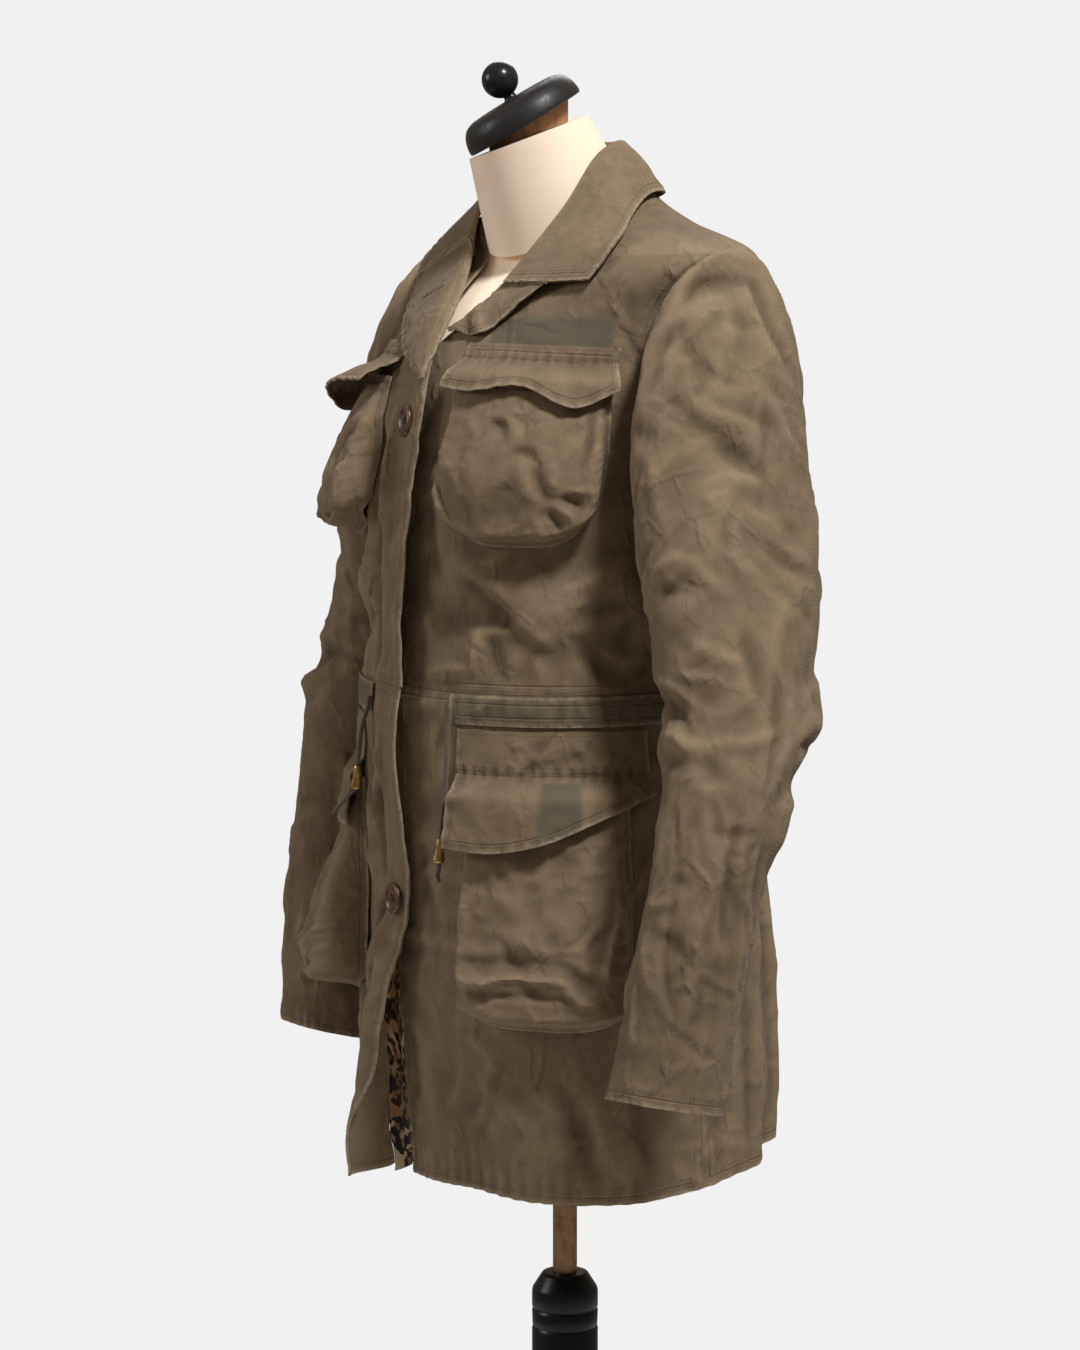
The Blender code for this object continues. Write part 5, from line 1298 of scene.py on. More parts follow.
# Creases of the bags in millimetres from the upper corner nearer the closing
bagCreases = {
    ("chest", 1): table(creaseNames, [
        (44, 26, 58, 43, 3, 2.8, -2.8), (50, 22, 66, 42, 3, 3.2, 2.2), (63, 47, 79, 56, 3, 3, -3.2),
        (78, 54, 84, 78, -3, 3.2, -3.8), (69, 52, 75, 78, -3, 3.8, 3.2), (87, 54, 91, 77, -2, 3.4, 3),
        (62, 60, 68, 96, -5, 6, -2), (86, 80, 104, 99, 2, 2.4, 3.2), (90, 76, 110, 91, 2, 2.2, -3),
        (94, 72, 115, 83, 2, 2.3, 2.8), (83, 85, 97, 105, 2, 2.2, -3), (77, 87, 88, 108, -2, 2.4, 2.4),
        (6, 62, 16, 101, -3, 2.4, 2.2), (11, 60, 22, 99, -3, 2.4, -2.4), (111, 22, 104, 62, 2, 3, -3.4),
        (118, 20, 112, 66, 2, 3, 2), (22, 52, 44, 94, 8, 8, 2.2), (32, 36, 36, 70, -5, 6, -1.8),
        (20, 26, 40, 40, 3, 5, 1.4),
    ]),
    ("chest", -1): table(creaseNames, [
        (16, 40, 34, 70, 4, 3, -2.2), (8, 60, 30, 92, -4, 3, 2.4), (30, 84, 56, 112, 4, 2.8, -2.4),
        (44, 70, 74, 108, -4, 3, 2.4), (88, 50, 108, 84, 3, 3, 2.2), (20, 30, 40, 80, 5, 4, 2.4),
        (34, 26, 54, 84, -5, 4, -2.4), (60, 30, 66, 92, 4, 4, 2.2), (74, 40, 90, 88, 4, 3.5, -2.2),
        (20, 96, 60, 104, 3, 3, -2), (50, 94, 96, 88, -4, 3, 2.4), (84, 104, 104, 92, 2, 2.6, -2.2),
    ]),
    ("hip", 1): table(creaseNames, [
        (8, 131, 44, 126, -2, 3.6, 4.6), (40, 126, 84, 127, 2, 3.6, 4.6),
        (82, 127, 106, 149, -3, 3.4, 4.4), (14, 139, 48, 136, -2, 3.4, -2.8),
        (46, 137, 86, 140, 2, 3.6, -2.8), (12, 118, 86, 115, 3, 5.5, -2),
        (86, 116, 104, 132, -3, 4.5, -2.6), (107, 134, 113, 90, 2, 3.2, 3.6),
        (112, 92, 124, 54, -2, 3.4, 3), (99, 126, 105, 90, 2, 4.5, -2.2), (111, 99, 125, 103, 1, 2, 2.4),
        (111, 106, 125, 110, 1, 2, -2.4), (110, 112, 125, 117, 1, 2, 2.4),
        (110, 119, 124, 124, 1, 2, -2.2), (18, 66, 62, 84, 5, 7, 1.6), (58, 56, 84, 106, -5, 7, -1.5),
        (28, 94, 72, 106, 4, 6, 1.3), (66, 22, 100, 54, 4, 6, 1.4), (16, 134, 20, 146, 1, 2.2, 1.8),
        (30, 132, 33, 146, 1, 2.2, -1.6),
    ]),
    ("hip", -1): table(creaseNames, [
        (8, 120, 40, 134, 3, 2.8, 2.6), (12, 130, 50, 150, -3, 2.8, -2.4), (44, 124, 80, 154, 4, 3, 2.4),
        (24, 40, 40, 90, 5, 4, -2), (80, 60, 96, 120, -5, 4, 2), (20, 134, 64, 142, 5, 3.4, 2.6),
        (14, 144, 60, 154, 4, 3.4, -2.4), (60, 144, 110, 140, -4, 3.2, 2.4),
        (84, 96, 120, 110, 3, 3, -2.2), (84, 110, 122, 120, 3, 3, 2.2), (30, 60, 46, 120, 6, 5, 1.6),
        (64, 50, 80, 120, -6, 5, -1.6),
    ]),
}


def spanWidth(part):
    return math.radians(part["span"][1] - part["span"][0]) * pocket["bodyRadius"]


# The bag stands off by its bulge, and its gussets fold in at the sides and the bottom
def bagLift(kind, side, bag, u, v):
    gusset = pocket["gusset"]
    fromSide = np.clip(np.minimum(u, 1 - u), 0, 1) * spanWidth(bag)
    fromEnd = np.clip(1 - v, 0, 1) * (bag["top"] - bag["bottom"])
    rise = ramp(fromSide, 0, gusset) * ramp(fromEnd, 0, gusset)
    depth = bag["mouth"] + (bagBulge[kind, side] - bag["mouth"]) * ramp(v, 0, bagFullest[kind, side])
    return pocket["attached"] + depth * rise + 0.0012 * ramp(v, 0.60, 1.0)


def bagSurface(kind, side, bag, u, v):
    middle = (bag["span"][0] + bag["span"][1]) / 2
    half = (bag["span"][1] - bag["span"][0]) / 2 * (1 - bag["narrowing"] * np.clip(v, 0, 1) ** 5)
    angle = side * (middle + half * (2 * u - 1))
    bottom = bag["bottom"] + bag["corner"] * np.abs(2 * u - 1) ** 4
    level = bag["top"] + (bottom - bag["top"]) * v
    return raised(angle, level, bagLift(kind, side, bag, u, v) + frontLift(side)(angle, level))


def makeBag(kind, side, bag, name, node):
    width, height = spanWidth(bag), bag["top"] - bag["bottom"]
    u, v = np.meshgrid(gridShares(width, pocket["step"]), gridShares(height, pocket["step"]))
    grid = bagSurface(kind, side, bag, u, v)
    normal = outwardNormal(grid)
    x, y = u * width, v * height
    fromSide = np.minimum(u, 1 - u) * width
    fromEnd = (1 - v) * height
    relief = pocket["creases"][side] * creaseHeight(bagCreases[kind, side], x * 1000, y * 1000, 1.0) / 1000
    shifted = y + side * 0.2
    relief = relief + pocket["rumple"] * rumple(x, shifted, pocket["rumpleCell"], pocket["rumpleSeed"][kind])
    relief = relief + pocket["wrinkle"] * rumple(x, shifted, pocket["wrinkleCell"], 65)
    relief = relief * ramp(fromSide, 0.002, 0.012) * ramp(fromEnd, 0.002, 0.012)
    for run, away, seed in ((y, fromSide, 63), (x, fromEnd, 64)):
        relief = relief + pucker(run, away - 0.010, *pocket["edgePucker"], seed) * ramp(away, 0.001, 0.006)
    piece = clothWall(name, grid + normal * relief[..., None], cloth, normal)
    finishCloth(piece, node, oliveTwill)


def flapSurface(kind, side, flap, u, v):
    angle = side * (flap["span"][0] + (flap["span"][1] - flap["span"][0]) * u)
    edge = smooth(flap["edge"][side], "across", "level", u)
    level = flap["top"] + (edge - flap["top"]) * v
    hanging = ramp(flap["stitch"] - level, 0.0, 0.018)
    reach = 0.036 if (kind, side) == ("chest", -1) else 0.060
    outward = ramp(flap["stitch"] - level, 0.008, reach) * (1 - 0.45 * ramp(u, 0.78, 1.0))
    depth = 0.0105 * hanging + (flapLift[kind, side] - 0.0105) * outward
    return raised(angle, level, pocket["attached"] + depth + frontLift(side)(angle, level)), level


# Puckers are size, pitch and reach
flapLook = {
    "acrossStep": 0.0019, "downStep": 0.0015, "bandPucker": (0.0012, 0.0088, 0.0048),
    "lowerPucker": (0.0007, 0.012, 0.008), "sidePucker": (0.0005, 0.010, 0.007),
    "grooveDepth": 0.0007, "grooveWidth": 0.0011, "rumple": 0.0010, "rumpleCell": 0.024, "fresh": 0.9,
}


def makeFlap(kind, side, flap, name, node):
    look = flapLook
    width, height = spanWidth(flap), flap["top"] - flap["edge"][side]["level"].mean()
    u, v = np.meshgrid(gridShares(width, look["acrossStep"]), gridShares(height, look["downStep"]))
    grid, level = flapSurface(kind, side, flap, u, v)
    normal = outwardNormal(grid)
    x, y = u * width, v * height
    below = flap["stitch"] - level
    band = pucker(x, -below, *look["bandPucker"], 71 if kind == "chest" else 72)
    lower = pucker(x + 0.003, (1 - v) * height, *look["lowerPucker"], 73)
    sides = pucker(y, np.minimum(u, 1 - u) * width, *look["sidePucker"], 74)
    uneven = look["rumple"] * rumple(x, y + side * 0.3, look["rumpleCell"], 75)
    groove = look["grooveDepth"] * np.exp(-((below / look["grooveWidth"]) ** 2))
    relief = band - groove + (lower + sides + uneven) * ramp(below, 0.002, 0.014)
    relief = relief * ramp(y, 0.0, 0.004)
    fresh = None
    if (kind, side) == ("hip", 1):
        square = ramp(u, 0.455, 0.465) * (1 - ramp(u, 0.64, 0.65))
        fresh = square * ramp(below, 0.004, 0.006) * look["fresh"]
    seams = "flap" if kind == "hip" else "all"
    grid = grid + normal * relief[..., None]
    piece = clothWall(name, grid, cloth, normal, fresh=fresh, seams=seams, rim="bse")
    finishCloth(piece, node, oliveTwill)


# Waist casing, facing and lining

casing = {
    "lift": 0.0018, "swell": 0.0010, "step": 0.0028, "thickness": jacket["facingCloth"] - 0.0002,
    "fresh": 0.75, "pucker": (0.0007, 0.013, 0.020),
}

# Rows of the casing's grid in millimetres below the waist seam
casingRows = (1.1, 2.2, 3.6, 5.2, 7.5, 10.0, 13.0, 16.0, 18.4, 20.0, 21.4, 22.6)


def makeCasing(name, node, side, fromAngle, toAngle):
    top = jacket["waistLevel"] - jacket["seamGap"] / 2
    rows = np.array(casingRows) / 1000 / jacket["casingDepth"]
    share = gridShares(abs(toAngle - fromAngle) * jacket["perDegree"], casing["step"])
    s, v = np.meshgrid(share, rows)
    angle = fromAngle + (toAngle - fromAngle) * s
    level = top - v * jacket["casingDepth"]
    base = frontLift(side)(angle, level) if side == -1 else np.zeros(angle.shape)
    swell = np.sin(np.pi * v)
    run = angle % 360 * jacket["perDegree"]
    puff = pucker(run, v * 0 + 0.004, *casing["pucker"], 81) * swell
    grid = raised(angle, level, base + casing["lift"] + casing["swell"] * swell + puff)
    if side == -1:
        grid = grid + swingOpen(angle, level)
    fresh = np.ones(angle.shape) * casing["fresh"]
    piece = clothWall(name, grid, casing["thickness"], outwardOf(grid), fresh=fresh)
    finishCloth(piece, node, oliveTwill)


def insideRight(angle, level, depth):
    place = raised(angle, level, frontLift(-1)(angle, level) - depth)
    return place + swingOpen(angle, level)


facing = {
    "top": 0.890, "across": 0.110, "acrossStep": 0.0030, "down": 0.245, "downStep": 0.0032, "edge": 4.55,
    "width": 19.2, "wider": 24.0, "fresh": 0.4,
}


# The facing is wider above the slit, in degrees round the body
def facingWidth(level):
    return facing["width"] + facing["wider"] * ramp(level, 0.725, 0.785)


def makeFacing(name):
    downward = gridShares(facing["down"], facing["downStep"])[::-1]
    levels = jacket["hemLevel"] + (facing["top"] - jacket["hemLevel"]) * downward
    s, level = np.meshgrid(gridShares(facing["across"], facing["acrossStep"]), levels)
    angle = facing["edge"] - (facingWidth(level) + facing["edge"]) * s
    grid = insideRight(angle, level, cloth + jacket["layerGap"])
    inward = -outwardOf(grid - swingOpen(angle, level))
    # The less faded tone is partly the facing's own colour and partly painted shade, darkening it where it
    # lies inside the front
    fresh = np.ones(angle.shape) * facing["fresh"]
    piece = clothWall(name, grid, jacket["facingCloth"], inward, fresh=fresh)
    finishCloth(piece, "facing_right", oliveTwill)


hungLining = {
    "top": 0.880, "aboveHem": -0.006, "across": 0.17, "acrossStep": 0.0030, "down": 0.235, "downStep": 0.0034,
    "farEdge": 76.0, "hang": 0.032, "wave": 0.003, "waves": 6, "rumple": 0.0012, "rumpleCell": 0.022,
}


# The lining is sewn to the facing's edge and hangs away from the skirt
def makeLining(name):
    look = hungLining
    across, down = look["across"], look["down"]
    u, v = np.meshgrid(gridShares(across, look["acrossStep"]), gridShares(down, look["downStep"]))
    level = look["top"] + (jacket["hemLevel"] + look["aboveHem"] - look["top"]) * v
    start = facingWidth(level) + 0.4
    angle = -start - (look["farEdge"] - start) * u
    hang = look["hang"] * np.sin(np.pi * u) ** 0.7 * ramp(v, 0.2, 0.95)
    wave = look["wave"] * np.sin(np.pi * look["waves"] * u) * ramp(v, 0.3, 1.0) * np.sin(np.pi * u)
    relief = look["rumple"] * rumple(u * across, v * down, look["rumpleCell"], 91)
    relief = relief * ramp(np.minimum(u, 1 - u), 0.0, 0.1)
    under = cloth + jacket["patchGap"] + jacket["facingCloth"]
    grid = insideRight(angle, level, under + hang + wave + relief)
    inward = -outwardOf(grid - swingOpen(angle, level))
    piece = clothWall(name, grid, jacket["facingCloth"], inward)
    finishCloth(piece, "lining_right", spottedLining)


# Dress form

formInset = table("level inset", [
    (0.78, 0.036), (0.86, 0.03), (0.96, 0.02), (1.01, 0.013), (1.09, 0.011), (1.175, 0.007),
    (1.24, 0.0045), (1.29, 0.0038), (1.33, 0.0038), (1.365, 0.0034), (1.385, 0.0064),
])
form = {
    "bottom": 0.780, "columns": 96, "lastLevel": 1.377,
    "baseCentre": (0.0, -0.006, 1.352), "baseSize": (0.0550, 0.0500), "baseTilt": 30.0, "baseTurn": 0.0,
    "topCentre": (-0.002, -0.0315, 1.4110), "topSize": (0.0450, 0.0430), "topTilt": 20.5, "topTurn": 29.0,
    "capTilt": 31.0, "capRadius": 0.0466, "capThickness": 0.0212, "knobRadius": 0.0135, "knobStem": 0.0029,
    "blockRadius": 0.0290,
}
stand = {
    "poleDiameter": 0.0185, "columnDiameter": 0.0505, "columnTop": 0.552,
    "baseDiameter": 0.340, "baseThickness": 0.007,
}

# Radius of a turned profile where it meets its axis
onAxis = 0.00005

# Profiles of turned pieces, as shares of a radius and a thickness, or of a radius and at a level
capProfile = [(0.30, 1.0), (0.60, 0.985), (0.76, 0.94), (0.87, 0.82), (0.95, 0.58), (0.99, 0.30), (1.0, 0.12)]
columnFoot = [
    (1.0, 0.128), (1.04, 0.110), (1.14, 0.085), (1.30, 0.050), (1.52, 0.034), (1.70, 0.026), (1.75, 0.016),
]
baseProfile = [(0.90, 1.0), (0.94, 1.0), (0.965, 0.95), (0.985, 0.82), (1.0, 0.55)]


def leanOf(turn):
    return np.array((-math.sin(math.radians(turn)), -math.cos(math.radians(turn)), 0.0))


def tiltedRing(centre, width, depth, tilt, turn, angle):
    around = np.radians(angle)
    place = np.stack([width * np.sin(around), -depth * np.cos(around), 0 * around], axis=-1)
    drop = math.tan(math.radians(tilt)) * (place @ leanOf(turn))
    return np.array(centre) + place - drop[:, None] * np.array((0, 0, 1.0))


def loftMesh(name, rings):
    rows, columns = len(rings), len(rings[0])
    row, column = np.meshgrid(np.arange(rows - 1), np.arange(columns), indexing="ij")
    row, column = row.ravel(), column.ravel()
    faces = cellCorners(row, column, (column + 1) % columns, columns)
    points = np.concatenate(rings)
    ends = np.stack([rings[0].mean(axis=0), rings[-1].mean(axis=0)])
    mesh = bpy.data.meshes.new(name)
    first = len(points)
    caps = [(first, (k + 1) % columns, k) for k in range(columns)]
    start = (rows - 1) * columns
    caps += [(first + 1, start + k, start + (k + 1) % columns) for k in range(columns)]
    corners = [tuple(point) for point in np.concatenate([points, ends])]
    mesh.from_pydata(corners, [], [tuple(face) for face in faces.tolist()] + caps)
    outward(mesh)
    return mesh


def outward(mesh):
    shape = bmesh.new()
    shape.from_mesh(mesh)
    bmesh.ops.remove_doubles(shape, verts=shape.verts, dist=0.000001)
    bmesh.ops.recalc_face_normals(shape, faces=shape.faces)
    shape.to_mesh(mesh)
    shape.free()
    mesh.shade_smooth()
    mesh.set_sharp_from_angle(angle=math.radians(38))


def hardPiece(name, mesh, node, material):
    piece = placed(name, mesh)
    piece.data.materials.append(material)
    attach(piece, "root")
    if node:
        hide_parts(node)
    return piece


def turnedPoints(profile, steps, place, direction):
    around = np.arange(steps) * 2 * np.pi / steps
    rings = [np.stack([r * np.cos(around), r * np.sin(around), 0 * around + h], axis=-1) for r, h in profile]
    turn = np.array(Vector(direction).to_track_quat("Z", "Y").to_matrix())
    return [ring @ turn.T + np.array(place) for ring in rings]


def turnedPiece(name, profile, steps, node, material, place=(0, 0, 0), direction=(0, 0, 1)):
    mesh = loftMesh(name, turnedPoints(profile, steps, place, direction))
    return hardPiece(name, mesh, node, material)


def sharesOf(radius, thickness, shares):
    return [(radius * wide, thickness * high) for wide, high in shares]


# A profile read more finely, as a smooth line through its rows
def rounded(profile, times):
    corners = np.array(profile, float)
    run = np.concatenate([[0], np.cumsum(np.linalg.norm(np.diff(corners, axis=0), axis=1))])
    rows = {"run": run, "r": corners[:, 0], "h": corners[:, 1]}
    at = np.linspace(0, run[-1], (len(profile) - 1) * times + 1)
    return list(zip(np.maximum(smooth(rows, "run", "r", at), onAxis), smooth(rows, "run", "h", at)))


def between(low, high, share):
    return np.array(low) * (1 - share) + np.array(high) * share


def makeForm():
    angle = np.arange(form["columns"]) * 360 / form["columns"]
    rings = []
    for level in np.linspace(form["bottom"], form["lastLevel"], 70):
        at = np.full(angle.shape, level)
        normal = bodyNormal(bodySurface, angle, at)
        rings.append(bodySurface(angle, at) - normal * smooth(formInset, "level", "inset", level))
    rings[0][:, 2] = form["bottom"]
    for share in np.linspace(0, 1, 12):
        centre = between(form["baseCentre"], form["topCentre"], share)
        width, depth = between(form["baseSize"], form["topSize"], share)
        tilt = between(form["baseTilt"], form["topTilt"], share)
        turn = between(form["baseTurn"], form["topTurn"], share)
        rings.append(tiltedRing(centre, width, depth, tilt, turn, angle))
    hardPiece("formBody", loftMesh("formBody", rings), "form_body", creamCover)


def capPlace():
    lean = leanOf(form["topTurn"])
    reach = sum(form["topSize"]) / 2 - 0.0020
    slope = math.tan(math.radians(form["topTilt"]))
    hinge = np.array(form["topCentre"]) + lean * reach - np.array((0, 0, reach * slope))
    tilt = math.radians(form["capTilt"])
    centre = hinge - lean * form["capRadius"] * math.cos(tilt)
    centre = centre + np.array((0, 0, form["capRadius"] * math.sin(tilt) + 0.0012))
    return centre, lean * math.sin(tilt) + np.array((0, 0, math.cos(tilt)))


def makeNeckHardware():
    centre, axis = capPlace()
    angle = np.arange(0, 360, 6)
    low = np.array(form["topCentre"]) + (0, 0, 0.0004)
    rise = np.array((centre[0] - low[0], centre[1] - low[1], 0.0))
    drop = math.tan(math.radians(form["capTilt"])) * (rise @ leanOf(form["topTurn"]))
    high = np.array((low[0], low[1], centre[2] + drop - 0.00045))
    radius = form["blockRadius"]
    rings = [
        tiltedRing(low, radius, radius, form["topTilt"], form["topTurn"], angle),
        tiltedRing(high, radius, radius, form["capTilt"], form["topTurn"], angle),
    ]
    hardPiece("neckBlock", loftMesh("neckBlock", rings), "neck_block", bareWood)
    r, t = form["capRadius"], form["capThickness"]
    profile = rounded([(onAxis, t)] + sharesOf(r, t, capProfile), 5)
    profile += [(r * 0.992, t * 0.02), (r * 0.975, 0.0), (onAxis, 0.0)]
    turnedPiece("neckCap", profile, 96, "neck_cap", blackSatin, centre, axis)
    ball, stem = form["knobRadius"], 0.0045
    lift = math.sqrt(ball**2 - stem**2)
    turns = np.linspace(0.001, math.acos(-lift / ball), 28)
    profile = [(ball * math.sin(a), ball * math.cos(a) + lift) for a in turns]
    foot = form["knobStem"]
    profile += [(stem, -foot * 0.5), (stem * 1.25, -foot), (onAxis, -foot)]
    place = centre + axis * (t + 0.0003 + foot)
    turnedPiece("knobBall", profile, 48, "knob", blackLacquer, place, axis)


def makeStand():
    bottom, top = stand["columnTop"] + 0.0003, form["bottom"] - 0.0003
    r = stand["poleDiameter"] / 2
    profile = [(onAxis, top), (r - 0.0004, top), (r, top - 0.0004), (r, (top + bottom) / 2)]
    profile += [(r, bottom), (onAxis, bottom)]
    turnedPiece("poleTube", profile, 64, "pole", bronzeTube)
    r, z, foot = stand["columnDiameter"] / 2, stand["columnTop"], stand["baseThickness"] + 0.0003
    profile = [(onAxis, z), (r * 0.62, z), (r * 0.68, z - 0.0006), (r * 0.73, z - 0.0022)]
    profile += [(r * 0.955, z - 0.0112), (r * 0.985, z - 0.0126), (r, z - 0.0150), (r, z - 0.0262)]
    for groove in (0.0280, 0.0420):
        h = z - groove
        profile += [(r * 0.985, h + 0.0012), (r * 0.955, h), (r * 0.985, h - 0.0012), (r, h - 0.0018)]
    profile += [(r, z - 0.120), (r, 0.130)]
    profile += rounded(sharesOf(r, 1.0, columnFoot), 3)
    profile += [(r * 1.75, foot), (onAxis, foot)]
    turnedPiece("turnedColumn", profile, 72, "column", blackTurned)
    r, t = stand["baseDiameter"] / 2, stand["baseThickness"]
    profile = [(onAxis, t)] + sharesOf(r, t, baseProfile)
    profile += [(r, 0.0012), (r - 0.0010, 0.0), (onAxis, 0.0)]
    turnedPiece("roundBase", profile, 120, "base", blackTurned)


# Buttons

# The profile is in shares of the radius and the thickness
button = {
    "diameter": 0.0235, "thickness": 0.0036, "holeCircle": 0.0021, "holeRadius": 0.00105,
    "threadRadius": 0.00042,
    "profile": [(0.30, 0.58), (0.58, 0.62), (0.70, 0.80), (0.80, 0.99), (0.90, 0.98), (0.985, 0.74),
                (1.0, 0.48), (0.95, 0.20), (0.80, 0.0)],
}


def coarseRightFront(angle, level):
    angle = np.asarray(angle, float)
    level = np.asarray(level, float)
    lift = frontLift(-1)(angle, level)
    return skin(angle, level) + bodyNormal(skin, angle, level) * lift[..., None] + swingOpen(angle, level)


def makeButton(name, node, angle, level, lift):
    normal = bodyNormal(coarseRightFront, angle, level)
    place = coarseRightFront(angle, level) + normal * lift
    r, t = button["diameter"] / 2, button["thickness"]
    profile = rounded([(onAxis, t * 0.60)] + sharesOf(r, t, button["profile"]), 3) + [(onAxis, 0.0)]
    mesh = loftMesh(name, turnedPoints(profile, 64, place, normal))
    piece = placed(name, mesh)
    turn = Vector(normal).to_track_quat("Z", "Y")
    aside, upward = np.array(turn @ Vector((1, 0, 0))), np.array(turn @ Vector((0, 1, 0)))
    drills = []
    spots = []
    for x, y in ((1, 1), (-1, 1), (-1, -1), (1, -1)):
        spot = place + (aside * x + upward * y) * button["holeCircle"]
        spots.append(spot)
        hole = button["holeRadius"]
        shape = loftMesh("drill", turnedPoints([(hole, t * 1.5), (hole, -t)], 16, spot, normal))
        drill = placed("drill", shape)
        cut = piece.modifiers.new("hole", "BOOLEAN")
        cut.object = drill
        drills.append(drill)
    bpy.context.view_layer.update()
    cutMesh = bpy.data.meshes.new_from_object(piece.evaluated_get(bpy.context.evaluated_depsgraph_get()))
    bpy.data.objects.remove(piece)
    for drill in drills:
        bpy.data.objects.remove(drill)
    cutMesh.name = name
    cutMesh.set_sharp_from_angle(angle=math.radians(38))
    cutMesh.materials.clear()
    hardPiece(name, cutMesh, node, hornBrown)
    low, high, top = normal * (t * 0.30), normal * (t * 0.62), normal * (t * 0.74)
    rows = []
    for first, second in ((0, 2), (1, 3)):
        a, b = spots[first], spots[second]
        across = unit(b - a) * 0.0006
        rows.append([a + low, a + high, a + across + top, b - across + top, b + high, b + low])
    tubes(name + "Thread", rows, button["threadRadius"], buttonThread)


# A curve through lines of points, round where it has a radius
def curveThrough(name, lines, radius=0.0, roundness=0):
    curve = bpy.data.curves.new(name, "CURVE")
    curve.dimensions = "3D"
    curve.bevel_depth = radius
    curve.bevel_resolution = roundness
    curve.use_fill_caps = radius > 0
    for line in lines:
        spline = curve.splines.new("POLY")
        spline.points.add(len(line) - 1)
        for point, place in zip(spline.points, line):
            point.co = (*place, 1.0)
    holder = placed(name, curve)
    return holder


# Round threads along short lines, joined to one mesh
def tubes(name, lines, radius, material):
    holder = curveThrough(name, lines, radius, 1)
    mesh = bpy.data.meshes.new_from_object(holder.evaluated_get(bpy.context.evaluated_depsgraph_get()))
    bpy.data.objects.remove(holder)
    mesh.materials.clear()
    outward(mesh)
    return hardPiece(name, mesh, None, material)


# Drawstrings

drawstring = {
    "diameter": 0.0034,
    "left": [(0.0556, -0.1425, 1.0010), (0.0562, -0.1436, 0.9920), (0.0570, -0.1462, 0.9750),
             (0.0570, -0.1475, 0.9500), (0.0560, -0.1495, 0.9250), (0.0555, -0.1510, 0.9080)],
    "right": [(-0.0402, -0.1491, 1.0020), (-0.0408, -0.1503, 0.9930), (-0.0425, -0.1535, 0.9820),
              (-0.0450, -0.1550, 0.9650), (-0.0470, -0.1550, 0.9500)],
    "leftTail": [(0.0, 0.0, 0.0), (0.0006, -0.0004, -0.006), (-0.0008, -0.0006, -0.011),
                 (0.0010, -0.0002, -0.0155)],
    "rightTail": [(0.0, 0.0, 0.0), (-0.0050, -0.0020, -0.0050), (-0.0120, -0.0038, -0.0120),
                  (-0.0190, -0.0050, -0.0180), (-0.0230, -0.0052, -0.0225)],
}

# Profile of a brass cord end in millimetres, from where the cord enters it
brassProfile = [
    (2.2, 0.0), (2.6, -0.6), (2.9, -1.6), (3.0, -6.0), (3.4, -9.0), (4.1, -13.5), (4.4, -15.5), (4.3, -16.6),
    (3.8, -17.2), (2.6, -16.8),
]


def routePoints(points, spacing):
    corners = np.array(points, float)
    run = np.concatenate([[0], np.cumsum(np.linalg.norm(np.diff(corners, axis=0), axis=1))])
    rows = {"run": run, "x": corners[:, 0], "y": corners[:, 1], "z": corners[:, 2]}
    at = np.linspace(0, run[-1], max(4, round(run[-1] / spacing) + 1))
    return np.stack([smooth(rows, "run", axis, at) for axis in "xyz"], axis=-1)


def makeDrawstring(side):
    points = drawstring[side]
    route = routePoints(points, 0.0022)
    string = curveThrough("drawstring" + side.capitalize(), [route], drawstring["diameter"] / 2, 3)
    string.data.materials.append(braidedCord)
    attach(string, "root")
    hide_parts("drawstring_" + side)
    tip, before = np.array(points[-1]), np.array(points[-2])
    direction = unit(tip - before)
    profile = [(onAxis, 0.0)] + sharesOf(0.001, 0.001, brassProfile) + [(onAxis, -0.0150)]
    start = tip + direction * 0.0003
    name, node = "brassEnd" + side.capitalize(), "cord_end_" + side
    brassEnd = turnedPiece(name, profile, 40, node, agedBrass, start, -direction)
    tail = routePoints(np.array(drawstring[side + "Tail"]) + start + direction * 0.0160, 0.0012)
    knot = tubes("cordTail" + side.capitalize(), [tail], 0.0017, braidedCord)


# Stitching: rows of short raised threads along the seams, made by Geometry Nodes

stitching = {"pitch": 0.0034, "length": 0.0026, "thread": 0.00036, "lift": 0.00015, "seed": 4}


def lineAt(name, side, away, start=0.0, end=1.0):
    grid, normal = sewn[name]["outer"], sewn[name]["normal"]
    if side in ("rowStart", "rowEnd"):
        grid, normal = grid.transpose(1, 0, 2), normal.transpose(1, 0, 2)
    if side in ("colEnd", "rowEnd"):
        grid, normal = grid[:, ::-1], normal[:, ::-1]
    run = runLengths(grid, 1)
    rows = len(grid)
    line = []
    for row in range(int(start * (rows - 1)), int(end * (rows - 1)) + 1):
        place = [np.interp(away, run[row], grid[row, :, axis]) for axis in range(3)]
        lean = [np.interp(away, run[row], normal[row, :, axis]) for axis in range(3)]
        line.append(np.array(place) + unit(np.array(lean)) * stitching["lift"])
    if sewn[name]["around"] and side in ("rowStart", "rowEnd"):
        line.append(line[0])
    return line


def columnLine(name, share, start=0.0, end=1.0):
    grid, normal = sewn[name]["outer"], sewn[name]["normal"]
    column = int(round(share * grid.shape[1])) % grid.shape[1]
    last = len(grid) - 1
    rows = slice(int(start * last), int(end * last) + 1)
    return list(grid[rows, column] + normal[rows, column] * stitching["lift"])


